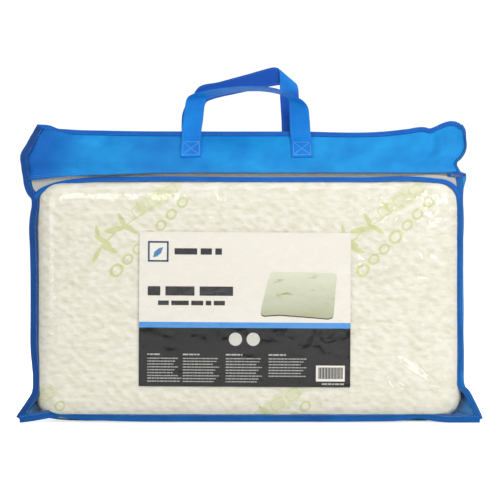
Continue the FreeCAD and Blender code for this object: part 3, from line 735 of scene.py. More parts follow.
def ridgeOver(x, z, line, width, height):
    # a crease: a soft ridge along a line that fades at both ends
    pts = smoothLine(line, 24)
    best = np.full(np.shape(x), 1e9)
    fade = np.zeros(np.shape(x))
    for i, (a, b) in enumerate(zip(pts[:-1], pts[1:])):
        d = b - a
        t = np.clip(((x - a[0]) * d[0] + (z - a[1]) * d[1]) / (d @ d), 0, 1)
        gap = np.hypot(x - a[0] - t * d[0], z - a[1] - t * d[1])
        closer = gap < best
        best = np.where(closer, gap, best)
        fade = np.where(closer, np.sin(np.pi * (i + t) / (len(pts) - 1)) ** 0.6, fade)
    return height * fade * np.exp(-(best / width) ** 2)


card = {"left": -147.6, "right": 138.4, "bottom": 49.6, "top": 258.6, "skin": 0.4, "tilt": -0.35}
cardMidX, cardMidZ = (card["left"] + card["right"]) / 2, (card["bottom"] + card["top"]) / 2


def cardDepth(x, z):
    return pillow["depth"] / 2 + pillow["ripple"] + pillow["outer"] * 0.3 + 0.35 + crownAt(x, z)


def cardPoint(x, z, lift=0.0):
    # a place on the flat card, turned by its slight tilt and laid on the pillow
    turn = math.radians(card["tilt"])
    dx, dz = x - cardMidX, z - cardMidZ
    px = cardMidX + dx * math.cos(turn) - dz * math.sin(turn)
    pz = cardMidZ + dx * math.sin(turn) + dz * math.cos(turn)
    return (px, -(float(cardDepth(px, pz)) + lift), pz)


# Coated board, 350 g: smooth, faintly satin, printed in solid inks.
def makeInk(name, tone, rough=0.42, speck=0.03):
    material, tree = newMaterial(name)
    spot = addNode(tree, "ShaderNodeTexCoord").outputs["Object"]
    grain = addNode(tree, "ShaderNodeTexNoise", {"Scale": 260.0, "Detail": 2.0}, {"Vector": spot})
    tint = addNode(tree, "ShaderNodeMapRange", {"To Min": 1 - speck, "To Max": 1 + speck},
                   {"Value": grain.outputs["Fac"]})
    colour = addNode(tree, "ShaderNodeHueSaturation", {"Color": linear(tone)}, {"Value": tint.outputs[0]})
    skin = addNode(tree, "ShaderNodeBsdfPrincipled", {"Roughness": rough, "Specular IOR Level": 0.18},
                   {"Base Color": colour.outputs[0]})
    closeMaterial(tree, skin)
    return material


def cardShape(name, outlines, lift, material):
    # flat printed shapes laid on the card: each outline is a closed run of (x, z)
    points, faces = [], []
    for outline in outlines:
        base = len(points)
        points += [cardPoint(x, z, lift) for x, z in outline]
        faces.append(tuple(range(base, base + len(outline))))
    obj = newMesh(name, points, faces)
    for face in obj.data.polygons:
        if face.normal.y > 0:
            face.flip()
    return finishPiece(obj, bagBody, material, angle=40)


def ringed(outline, rings=6):
    # a large printed shape, cut into rings round its middle so that it follows the card
    pts = np.array(outline, float)
    middle = pts.mean(0)
    cells = []
    for k in range(rings):
        outer, inner = middle + (pts - middle) * (1 - k / rings), middle + (pts - middle) * (1 - (k + 1) / rings)
        for i in range(len(pts)):
            j = (i + 1) % len(pts)
            quad = [outer[i], outer[j], inner[j], inner[i]] if k < rings - 1 else [outer[i], outer[j], middle]
            cells.append([tuple(p) for p in quad])
    return cells


def bar(x, z, width, height, step=12.0):
    # a printed bar, cut along its length so that it follows the card's curve
    count = max(1, int(width / step))
    return [[(x + width * i / count, z), (x + width * (i + 1) / count, z), (x + width * (i + 1) / count, z + height),
             (x + width * i / count, z + height)] for i in range(count)]


def panel(x, z, width, height, step=12.0):
    rows = max(1, int(height / step))
    return [cell for r in range(rows) for cell in bar(x, z + height * r / rows, width, height / rows, step)]


def wordRow(x, z, width, height, seed):
    # a line of unreadable text: small blocks of uneven length with gaps
    blocks, here, count = [], x, 0
    while here < x + width - height:
        size = height * (1.2 + 2.6 * (0.5 + 0.5 * math.sin(seed * 12.9 + count * 4.7)))
        size = min(size, x + width - here)
        blocks += bar(here, z, size, height)
        here += size + height * 0.55
        count += 1
    return blocks


def disc(x, z, radius, sides=20):
    return [[(x + radius * math.cos(2 * math.pi * k / sides),
              z + radius * math.sin(2 * math.pi * k / sides)) for k in range(sides)]]


def makeCard():
    width, height = card["right"] - card["left"], card["top"] - card["bottom"]
    xs = np.linspace(card["left"], card["right"], 60)
    zs = np.linspace(card["bottom"], card["top"], 44)
    net = np.array([[cardPoint(x, z) for x in xs] for z in zs])
    sheet = netPiece("insertCard", net)
    thicken(sheet, card["skin"])
    finishPiece(sheet, bagBody, makeInk("coatedBoard", "#e9e3d8"), angle=40, replaces=("insert_card",))
    left, bottom = card["left"], card["bottom"]
    black, white = makeInk("blackInk", "#0b0b08", 0.4), makeInk("bareBoard", "#ebe7dd")
    pieces = [sheet]
    pieces.append(cardShape("cardDarkPanel", panel(left, bottom, width, 79.6), 0.06, black))
    pieces.append(cardShape("cardBlueStripe", bar(left, bottom + 79.6, width, 7.6), 0.08,
                            makeInk("blueInk", "#4f97dc", 0.35)))
    # a plain mark, one leaf in a frame, fills the card's upper left corner
    mark = [[(-136, 218), (-108, 218), (-108, 246), (-136, 246)]]
    pieces.append(cardShape("cardMarkFrame", mark, 0.06, makeInk("slateInk", "#31485f", 0.4)))
    pieces.append(cardShape("cardMarkField", [[(-133.6, 220.4), (-110.4, 220.4), (-110.4, 243.6),
                                               (-133.6, 243.6)]], 0.1, white))
    leaf = [(-129, 224), (-124, 225), (-118, 230), (-115.5, 238), (-122, 236), (-127.5, 231)]
    pieces.append(cardShape("cardMarkLeaf", [leaf], 0.14, makeInk("leafInk", "#4f86b8", 0.4)))
    title = wordRow(-100, 228, 64, 8.5, 3) + wordRow(-136, 172.5, 128, 12.5, 1.3) + wordRow(-122, 159.5, 98, 6.2, 2.2)
    pieces.append(cardShape("cardTitleBars", title, 0.06, makeInk("charcoalInk", "#3a3a3c", 0.4)))
    rows = []
    for x, wide, lines in ((-136, 42, 7), (-88, 50, 9), (-30, 50, 9), (28, 52, 7)):
        rows += wordRow(x, 92, wide * 0.45, 2.0, x)
        for k in range(lines):
            rows += wordRow(x, 87 - 3.9 * k, wide * (0.98 - 0.07 * (k % 3)), 1.3, x * 0.37 + k)
    rows += wordRow(-136, 60, 48, 1.4, 5) + wordRow(-136, 56, 44, 1.4, 6) + wordRow(100, 53, 30, 2.0, 4)
    pieces.append(cardShape("cardTextRows", rows, 0.1, makeInk("whiteInk", "#b9b8b2", 0.4)))
    pieces.append(cardShape("cardDiscs", disc(-17, 114, 9.0) + disc(7, 114, 9.0), 0.1,
                            makeInk("paleInk", "#cfcdc4", 0.4)))
    field = [[(92, 57.5), (131, 57.5), (131, 79), (92, 79)]]
    pieces.append(cardShape("cardCodeField", field, 0.1, white))
    bars, here = [], 95.0
    for k in range(26):
        wide = 0.45 + 0.5 * ((k * 7) % 3)
        bars += bar(here, 61, wide, 15.5)
        here += wide + 0.45
        if here > 127.5:
            break
    pieces.append(cardShape("cardCodeBars", bars, 0.14, black))
    # the small picture of a pillow: a soft four-sided shape with a shadow under it
    shape = [(17, 151), (18, 147.5), (22, 146), (42, 147.5), (66, 145.8), (90, 144), (108, 142.6), (114, 144.5),
             (115.6, 151),
             (117, 170), (118.6, 190), (119.6, 199), (118, 202.8), (112, 204), (80, 204.8), (50, 205.2),
             (34, 205.3), (29.5, 203),
             (27, 196), (22, 174), (18.5, 160)]
    outline = np.array(shape)
    shade = [(x, z - 1.5 * float(ease(160, 148, z))) for x, z in outline]
    pieces.append(cardShape("cardPictureShadow", ringed(shade), 0.06, makeInk("umberInk", "#353019", 0.4)))
    pieces.append(cardShape("cardPicture", ringed(outline), 0.1, makePictureInk("sageInk")))
    return pieces


# The picture's inks: pale sage with soft darker diagonals and a lighter top.
def makePictureInk(name):
    material, tree = newMaterial(name)
    spot = addNode(tree, "ShaderNodeTexCoord").outputs["Object"]
    split = addNode(tree, "ShaderNodeSeparateXYZ", links={"Vector": spot})
    turned = addNode(tree, "ShaderNodeMapping", {"Rotation": (0, math.radians(35), 0), "Scale": (34, 1, 95)},
                     {"Vector": spot})
    sprigs = addNode(tree, "ShaderNodeTexNoise", {"Scale": 1.0, "Detail": 2.0}, {"Vector": turned.outputs[0]})
    marks = addNode(tree, "ShaderNodeValToRGB", links={"Fac": sprigs.outputs["Fac"]})
    marks.color_ramp.elements[0].position, marks.color_ramp.elements[0].color = 0.6, (0, 0, 0, 1)
    marks.color_ramp.elements[1].position, marks.color_ramp.elements[1].color = 0.7, (1, 1, 1, 1)
    height = addNode(tree, "ShaderNodeMapRange", {"From Min": 0.142, "From Max": 0.205}, {"Value": split.outputs[2]})
    tone = addNode(tree, "ShaderNodeValToRGB", links={"Fac": height.outputs[0]})
    tone.color_ramp.elements[0].color, tone.color_ramp.elements[1].color = linear("#a9ad86"), linear("#dadcc4")
    middle = tone.color_ramp.elements.new(0.3)
    middle.color = linear("#c2c4aa")
    dyed = addNode(tree, "ShaderNodeMix", links={"Factor": marks.outputs["Color"]}, data_type="RGBA")
    tree.links.new(tone.outputs["Color"], dyed.inputs[6])
    dyed.inputs[7].default_value = linear("#a5a560")
    skin = addNode(tree, "ShaderNodeBsdfPrincipled", {"Roughness": 0.4}, {"Base Color": dyed.outputs[2]})
    closeMaterial(tree, skin)
    return material


makeCard()
print("card made")


# the bag cloth's paintedShade tone is painted shade for the front band's shaded left end
blueCloth = makeCloth("spunbondBlue", "#0074c0", "#1a9ade", paintedShade="#0056ae")
# painted light: a lighter copy of the binding cloth for the window binding and the top binding, which catch more
# light
paintedLightBinding = makeCloth("paintedLightBindingBlue", "#0052a8", "#0866bc", rough=0.45)
blueBinding = makeCloth("bindingBlue", "#00488e", "#0462aa", rough=0.45)
# painted shade: a darker copy of the binding cloth for the left side bindings, which lie in shade
shadeBinding = makeCloth("paintedShadeBindingBlue", "#053878", "#084b92", rough=0.45)
# the strap cloth's paintedShade tone is painted shade for the handles' shaded faces
blueStrap = makeCloth("strapBlue", "#0069c2", "#0a86da", rough=0.48, dotPitch=2.2, paintedShade="#0049a8")
blueThread = makeThread("polyesterThread", "#4c9be0")
filmSkin = makeFilm("clearFilm")

creases = [
    # line of (x, z), width, height
    ([(181, 84), (182, 67), (192, 48), (208, 34), (236, 21)], 10.0, 2.7),
    ([(184, 92), (212, 76), (240, 57), (264, 38)], 7.5, 1.9),
    ([(203, 286), (222, 303), (246, 324)], 8.5, 2.7),
    ([(172, 262), (190, 276), (196, 296)], 3.4, 1.8),
    ([(214, 250), (238, 262), (262, 268)], 3.6, 1.8),
    ([(150, 300), (178, 306), (214, 300)], 3.4, 1.6),
    ([(-240, 18), (-226, 30), (-205, 40)], 6.0, 1.6),
    ([(-262, 300), (-240, 282), (-215, 262)], 8.0, 1.2),
    ([(-278, 30), (-292, 22), (-304, 12)], 3.0, 2.4),
    ([(-262, 24), (-282, 14), (-300, 9)], 3.0, 1.8),
    ([(280, 40), (292, 28), (304, 16)], 3.5, 3.0),
    ([(262, 26), (284, 16), (306, 8)], 3.0, 2.4),
    ([(150, 30), (176, 22), (205, 16)], 6.0, 1.2),
    ([(-120, 270), (-40, 274), (60, 268)], 9.0, 0.8),
    ([(146, 250), (150, 170), (146, 70)], 7.0, 0.9),
    ([(-156, 240), (-159, 160), (-155, 60)], 7.0, 0.8),
]


def makeWindow():
    wide, tall = 190, 104
    borders = [smoothLine(line, count) for line, count in ((filmBottom, wide), (filmTop, wide),
                                                           (filmLeft, tall), (filmRight, tall))]
    net = patch(*borders)
    x, z = net[..., 0], net[..., 1]
    fixed = np.zeros(x.shape, bool)
    fixed[[0, -1]] = True
    fixed[:, [0, -1]] = True
    cover = formFront(x, z, bag["gap"])
    onCard = (ease(8, 0, np.maximum(np.abs(x - cardMidX) - 143, 0))
              * ease(8, 0, np.maximum(np.abs(z - cardMidZ) - 104.5, 0)))
    cover = np.where(cover > 0, cover + bag["cardGap"] * onCard, cover)
    start = np.where(fixed, bag["seamQ"], np.maximum(cover, bag["seamQ"]))
    start[-1] = bag["seamQ"] + 1.2 * ease(300, 335, z[-1])
    q = drape(fixed, start, cover)
    rim = np.minimum(np.minimum(np.arange(tall), np.arange(tall)[::-1])[:, None],
                     np.minimum(np.arange(wide), np.arange(wide)[::-1])[None])
    free = ease(0, 4, rim)
    q = q + free * (0.35 * (1 + wander(x, z, 62, 1)) + 0.22 * (1 + wander(x, z, 27, 2)))
    for line, width, height in creases:
        q = q + free * ridgeOver(x, z, line, width, height)
    corner = ease(250, 300, np.abs(x)) * ease(60, 20, z)
    q = q + free * corner * 2.0 * wander(x * 1.7, z, 11, 5)
    # fine crackle where the film was pulled tight over the pillow's upper right and lower edges
    crackle = (ease(110, 190, x) * ease(235, 280, z) + ease(70, 40, z) * ease(0, 150, x)
               + 0.5 * ease(-180, -250, x) * ease(90, 40, z))
    grooves = np.abs(wander(x * 0.8 + z * 0.6, z * 1.4 - x * 0.5, 15, 6))
    q = q + free * np.minimum(crackle, 1) * 0.9 * (1 - grooves * 2.2)
    film = netPiece("windowFilm", np.stack([x, -q, z], axis=2))
    finishPiece(film, bagBody, filmSkin, replaces=("window_film",))
    return film


def headDepth(z, low, high):
    # the band leans from the zip back to the top seam and bellies out a little on the way
    low = np.maximum(low, 342.0)
    t = np.clip((z - low) / np.maximum(high - 4 - low, 1), 0, 1)
    q = (bag["seamQ"] + 2.0) * (1 - t) + 1.0 * t
    return q + 2.2 * np.sin(np.pi * t)


# the hem flap over the zip: how far it stands proud, and where it rises from the band
hemFlap = {"lift": 7.0, "left": (-300, -291), "right": (-110, -190), "top": (356, 343)}


def makeHead(name, sign, material, replaces=()):
    wide, tall = 170, 30
    left = smoothLine([(-301, 329)] + [p for p in headLeft if p[1] > 334], tall)
    right = smoothLine([(287, 340)] + [p for p in headRight if p[1] > 341], tall)
    net = patch(smoothLine(bandLow, wide), smoothLine(ridge, wide), left, right)
    x, z = net[..., 0], net[..., 1]
    q = headDepth(z, z[0][None], z[-1][None])
    t = np.linspace(0, 1, tall)[:, None]
    mid = np.sin(np.pi * t)
    # the left end turns away from the light, the right ear stands proud of the top seam
    q = q - 9.0 * ease(-215, -300, x) * mid ** 1.6 * (1 if sign < 0 else 0.4)
    # at the left the hem is a flap that the slider passes under
    q = q + hemFlap["lift"] * ease(*hemFlap["left"], x) * ease(*hemFlap["right"], x) * ease(*hemFlap["top"], z)
    q = q + mid * (1.5 * wander(x, z, 70, 11 + sign) + 0.8 * wander(x, z, 26, 13 + sign))
    q = q + ridgeOver(x, z, [(-286, 401), (-268, 396), (-246, 388), (-215, 382)], 5.0, 2.2)
    q = q - ridgeOver(x, z, [(-292, 392), (-276, 384), (-262, 376)], 6.0, 2.0)
    q = q - ridgeOver(x, z, [(254, 398), (252, 382), (246, 366), (226, 350)], 6.5, 3.2)
    q = q + ridgeOver(x, z, [(262, 402), (264, 380), (262, 360), (262, 345)], 8.0, 2.6)
    q = q - ridgeOver(x, z, [(268, 366), (280, 359), (288, 362)], 5.0, 2.4)
    q = q + ridgeOver(x, z, [(200, 344), (245, 346), (278, 344)], 4.0, 1.2)
    q = np.maximum(q, 0.5 + 0.4 * t)
    net = np.stack([x, sign * q, z], axis=2)
    head = netPiece(name, net, flip=sign > 0)
    # painted shade: the band is painted darker towards its left end and over a patch left of its middle, where it
    # lies in shade
    setPaintedShade(head, (0.85 * ease(-215, -285, x) + 0.35 * ease(-200, -120, x) * ease(-20, -110, x)).ravel())
    thicken(head, bag["clothSkin"], offset=-1.0)
    finishPiece(head, bagBody, material, replaces=replaces)
    return head, net


def makeBack():
    # one piece of cloth from the floor seam to the top seam
    wide, tall = 150, 110
    lowSide = smoothLine(filmLeft + headLeft[1:], tall)
    farSide = smoothLine(filmRight + headRight[1:], tall)
    net = patch(smoothLine(filmBottom, wide), smoothLine(ridge, wide), lowSide, farSide)
    x, z = net[..., 0], net[..., 1]
    fixed = np.zeros(x.shape, bool)
    fixed[[0, -1]] = True
    fixed[:, [0, -1]] = True
    hold = z > 341
    top = z[-1][None]
    slope = headDepth(z, 341.0, top) + 1.2 * wander(x, z, 60, 21)
    cover = formFront(x, z, bag["gap"] - 0.3)
    start = np.where(hold, np.maximum(slope, 0.7), np.maximum(cover, seamDepth(z)))
    start[:, [0, -1]] = seamDepth(z[:, [0, -1]])
    start[0] = bag["seamQ"]
    start[-1] = 0.8
    q = drape(fixed | hold, start, cover)
    rim = np.minimum(np.minimum(np.arange(tall), np.arange(tall)[::-1])[:, None],
                     np.minimum(np.arange(wide), np.arange(wide)[::-1])[None])
    free = ease(0, 4, rim)
    q = q + free * (0.9 * (1 + wander(x, z, 90, 23)) + 0.45 * (1 + wander(x, z, 30, 24)))
    q = q + free * ridgeOver(x, z, [(-270, 30), (-200, 80), (-150, 110)], 12.0, 2.0)
    q = q + free * ridgeOver(x, z, [(265, 40), (215, 70), (150, 92)], 11.0, 2.0)
    q = q + free * ridgeOver(x, z, [(-262, 318), (-200, 296), (-120, 290)], 10.0, 1.8)
    back = netPiece("backPanel", np.stack([x, q, z], axis=2), flip=True)
    thicken(back, bag["clothSkin"], offset=-1.0)
    finishPiece(back, bagBody, blueCloth, replaces=("back_panel",))
    return back


def innerLine(side, count):
    # where the middle of a side or floor gusset runs: beside the pillow, round its corner and under it
    reach = roundX + pillow["edge"] + 1.9
    ring = pillow["edge"] + 1.4
    pts = []
    head = headLeft if side < 0 else headRight
    for x, z in reversed(head):
        if z > 345:
            pts.append((x * 1.0 + side * (1.5 if side < 0 else 2.0), z - 1.0))
    pts += [(side * (reach + 3.0), 338), (side * reach, 318), (side * reach, 260), (side * reach, 160),
            (side * reach, 90), (side * reach, 50)]
    for degrees in (15, 30, 45):
        a = math.radians(degrees)
        pts.append((side * (roundX + 0.5 + ring * math.cos(a)), 47 - ring * math.sin(a)))
    return smoothLine(pts, count)


def makeGusset(name, side, replaces):
    # the cloth between a front and a back side seam, folded out to an ear at the top
    rows, columns = 120, 28
    edge = smoothLine((filmLeft + headLeft[1:] if side < 0 else filmRight + headRight[1:])[::-1], rows)
    middle = innerLine(side, rows)
    net = np.zeros((rows, columns, 3))
    for c, t in enumerate(np.linspace(-1, 1, columns)):
        pull = abs(t) ** 2.4
        flat = middle * (1 - pull) + edge * pull
        net[:, c, 0], net[:, c, 2] = flat[:, 0], np.maximum(flat[:, 1], 0.9)
        net[:, c, 1] = t * (seamDepth(edge[:, 1]) - 0.4)
    loose = ease(1, 0.8, np.abs(np.linspace(-1, 1, columns)))[None]
    puff = 1.1 * (1 + wander(net[..., 1], net[..., 2], 46, 31 + side)) * loose
    net[..., 0] += side * puff
    panelPiece = netPiece(name, net, flip=side > 0)
    thicken(panelPiece, bag["clothSkin"], offset=-1.0)
    turnOut(panelPiece)
    finishPiece(panelPiece, bagBody, blueCloth, replaces=replaces)
    return panelPiece


def makeFloorGusset():
    # the cloth under the pillow, from corner to corner
    rows, columns = 150, 24
    edge = smoothLine(filmBottom, rows)
    ring = pillow["edge"] + 1.4
    pts = []
    for degrees in (45, 60, 75, 90):
        a = math.radians(degrees)
        pts.append((-(roundX + 0.5 + ring * math.cos(a)), 47 - ring * math.sin(a)))
    pts = [(x, max(z, 0.9)) for x, z in pts]
    middle = smoothLine(pts + [(-120, 0.9), (0, 0.9), (120, 0.9)] + [(-x, z) for x, z in pts[::-1]], rows)
    net = np.zeros((rows, columns, 3))
    for c, t in enumerate(np.linspace(-1, 1, columns)):
        pull = abs(t) ** 2.6
        flat = middle * (1 - pull) + edge * pull
        net[:, c, 0], net[:, c, 2] = flat[:, 0], np.maximum(flat[:, 1], 0.9)
        net[:, c, 1] = t * (bag["seamQ"] - 0.4)
    floorPiece = netPiece("floorGusset", net, flip=False)
    thicken(floorPiece, bag["clothSkin"] * 0.8, offset=-1.0)
    turnOut(floorPiece)
    finishPiece(floorPiece, bagBody, blueCloth, replaces=("gusset_bottom",))
    return floorPiece


def edgeNormals(line):
    # the direction across a flat line, in its own plane
    ahead = np.gradient(line, axis=0)
    return np.stack([-ahead[:, 1], ahead[:, 0]], axis=1) / np.linalg.norm(ahead, axis=1)[:, None]


def seamStrip(name, line, sign, width, count, lift=0.6, skin=2.0, replaces=(), pinch=0.0, seed=3, material=None):
    # a binding folded over a seam, standing in the plane of the bag's face
    flat = smoothLine(line, count)
    across = edgeNormals(flat)
    depth = seamDepth(flat[:, 1]) + lift
    wave = wander(flat[:, 0] * 1.0, flat[:, 1], 40, seed) * pinch
    pts = np.stack([flat[:, 0] + across[:, 0] * wave, sign * depth, flat[:, 1] + across[:, 1] * wave], axis=1)
    pts[:, 2] = np.maximum(pts[:, 2], width * 0.46 * np.abs(across[:, 1]) + 0.3)
    sides = np.stack([across[:, 0], sign * 0.12 * wander(flat[:, 0], flat[:, 1], 30, seed + 1), across[:, 1]], axis=1)
    strip = sweptPiece(name, pts, sides, stripSection(width, skin))
    finishPiece(strip, bagBody, material or blueBinding, angle=50, replaces=replaces)
    return strip, pts, across


def makeBag():
    film = makeWindow()
    band, bandNet = makeHead("frontBand", -1, blueCloth, ("front_band",))
    back = makeBack()
    left = makeGusset("gussetLeft", -1, ("gusset_left",))
    right = makeGusset("gussetRight", 1, ("gusset_right",))
    floor = makeFloorGusset()
    print("panels made")
    strips, rows = [], []
    width = bag["stripWidth"]
    for word, sign in (("front", -1), ("back", 1)):
        for side, sideLine, wide in (("left", filmLeft + headLeft[1:], width),
                                     ("right", filmRight + headRight[1:], width - 2.0)):
            # the left side bindings take the painted shade copy of the binding cloth
            strip, pts, across = seamStrip(f"{word}Binding{side.title()}", sideLine, sign, wide, 170,
                                           seed=3 + sign + len(side),
                                           replaces=(f"{word}_binding_{side}",),
                                           material=shadeBinding if side == "left" else None)
            strips.append(strip)
            inward = 1 if side == "left" else -1
            inner = pts.copy()
            inner[:, 0] -= across[:, 0] * wide * 0.26 * inward * (1 if side == "left" else -1)
            inner[:, 2] -= across[:, 1] * wide * 0.26 * inward * (1 if side == "left" else -1)
            inner[:, 1] += sign * 1.1
            rows.append((inner, (0, sign, 0)))
        strip, pts, across = seamStrip(f"{word}BindingBottom", filmBottom, sign, width, 150, seed=8 + sign,
                                       replaces=(f"{word}_binding_bottom",))
        strips.append(strip)
        inner = pts + np.array([0, sign * 1.1, width * 0.26])
        rows.append((inner, (0, sign, 0)))
    # the window binding takes the painted light copy of the binding cloth
    strip, pts, across = seamStrip("windowBinding", filmTop, -1, 6.6, 150, lift=1.3, skin=1.7,
                                   replaces=("window_binding",), seed=15,
                                   material=paintedLightBinding)
    strips.append(strip)
    lower = pts + np.array([0, -1.0, -1.9])
    rows.append((lower, (0, -1, 0)))
    # the top seam is bound by a strip folded over it
    flat = smoothLine([(-291, 404.4)] + ridge[1:] + [(294, 402)], 160)
    pts = np.stack([flat[:, 0], np.zeros(160), flat[:, 1] - 0.3], axis=1)
    sides = np.tile([0, 1.0, 0], (160, 1))
    section = [(-2.1, -3.4), (-1.1, -3.6), (1.1, -3.6), (2.1, -3.4), (2.3, 0), (1.9, 2.6), (0.9, 3.3),
               (-0.9, 3.3), (-1.9, 2.6), (-2.3, 0)]
    top = sweptPiece("topBinding", pts, sides, section)
    finishPiece(top, bagBody, paintedLightBinding, angle=60, replaces=("top_binding",))
    strips.append(top)
    for sign in (-1, 1):
        rows.append((pts + np.array([0, sign * 2.35, -1.6]), (0, sign, 0)))
    # two rows of stitches hold the band's folded hem
    for row in (1, 2):
        rows.append((bandNet[row] + np.array([0, -0.35, 0]), (0, -1, 0)))
    stitches = stitchPiece("bagStitches", rows)
    finishPiece(stitches, bagBody, blueThread, angle=30)
    return film, band, back, left, right, floor, strips, stitches


film, band, back, gussetLeft, gussetRight, floorGusset, strips, stitches = makeBag()
print("bag made")


strap = {"skin": 1.7, "rows": 260, "columns": 9, "bendLow": 397.0, "bendHigh": 404.0}

# Places along a strap, from one sewn end to the other: outer edge (x, y, z), then inner edge.
frontStrap = [
    (-92.7, -28.6, 361.5, -64.6, -28.6, 361.5), (-92.2, -20.6, 372, -64.4, -20.6, 372),
    (-91.8, -10.4, 384, -64.3, -10.4, 384),
    (-91.5, -5.2, 391.5, -64.2, -5.2, 391.5), (-91.2, -4.6, 399, -64.1, -4.6, 399),
    (-89.9, -6.2, 411.5, -62.2, -6.2, 411.5),
    (-87.6, -9.5, 427, -60.2, -8.8, 430), (-83.2, -15, 443.5, -58.7, -10.2, 438.5),
    (-75.5, -21.5, 447.6, -56, -9, 442),
    (-63.4, -27, 450.8, -47, -6.5, 444.6), (-41.3, -31.5, 454.8, -32, -5.8, 449),
    (-15.3, -33.5, 457.2, -10, -6.5, 452.2),
    (6.8, -34, 457.7, 8, -7.2, 453.2), (23.8, -33.5, 456.8, 24, -7, 452.3), (43.3, -32, 452.9, 41, -6.5, 449.4),
    (62.8, -27, 445, 52.5, -7, 445.2), (75.8, -20, 437.7, 55.9, -8.6, 439.5), (81.8, -13.5, 430.3, 56.4, -9, 431),
    (84.2, -8.6, 416, 56.8, -7.8, 417), (85.6, -4.6, 399, 57.4, -4.6, 399), (86.4, -5.2, 391.5, 58.2, -5.2, 391.5),
    (87.1, -10.4, 384, 58.9, -10.4, 384), (87.7, -20.6, 372, 59.3, -20.6, 372),
    (88.2, -28.6, 361.5, 59.6, -28.6, 361.5),
]
backStrap = [
    (-91.6, 28.6, 361.5, -64.6, 28.6, 361.5), (-91.6, 20.6, 372, -64.6, 20.6, 372),
    (-91.6, 10.4, 384, -64.6, 10.4, 384),
    (-91.8, 5.2, 391.5, -64.8, 5.2, 391.5), (-92, 4.6, 399, -64.8, 4.6, 399), (-92, 6.5, 411.5, -64.2, 6.5, 411),
    (-90.6, 9.5, 424, -62.8, 9, 424), (-86.5, 12.5, 434.5, -60.6, 11, 432.5), (-79, 14.5, 444.5, -58, 12.5, 438.8),
    (-68.5, 16.5, 460, -49, 13, 443), (-42, 17.5, 466.8, -36, 13.5, 446.6), (-2.3, 18.5, 477.6, -8, 14.5, 452.6),
    (20, 19.3, 484, 14, 15.2, 457.4), (32.5, 19.6, 487.3, 31, 15.8, 461), (38.2, 19.4, 487.4, 49, 16.6, 463.6),
    (42, 18.4, 484.8, 66.6, 17.6, 464), (43.2, 15, 479.5, 69, 14.6, 458), (43.5, 13.6, 465, 69.8, 12.8, 448),
    (43.8, 11.8, 448, 70.4, 11, 436), (44.8, 9.3, 430, 71, 9, 424), (45.8, 6.5, 412, 71.8, 6.5, 411),
    (46.2, 4.6, 399, 73, 4.6, 399),
    (47, 5.2, 391.5, 74, 5.2, 391.5), (47.5, 10.4, 384, 74.5, 10.4, 384), (47.8, 20.6, 372, 74.8, 20.6, 372),
    (48, 28.6, 361.5, 75, 28.6, 361.5),
]


def strapSurface(stations, rows, columns):
    # the strap's middle surface and its outward direction at each point
    pairs = smoothLine(stations, rows)
    a, b = pairs[:, :3], pairs[:, 3:]
    share = np.linspace(0, 1, columns)[None, :, None]
    net = a[:, None] * (1 - share) + b[:, None] * share
    ahead = np.gradient(net, axis=0)
    out = np.cross(ahead, (b - a)[:, None])
    out /= np.maximum(np.linalg.norm(out, axis=2), 1e-6)[..., None]
    return net, out


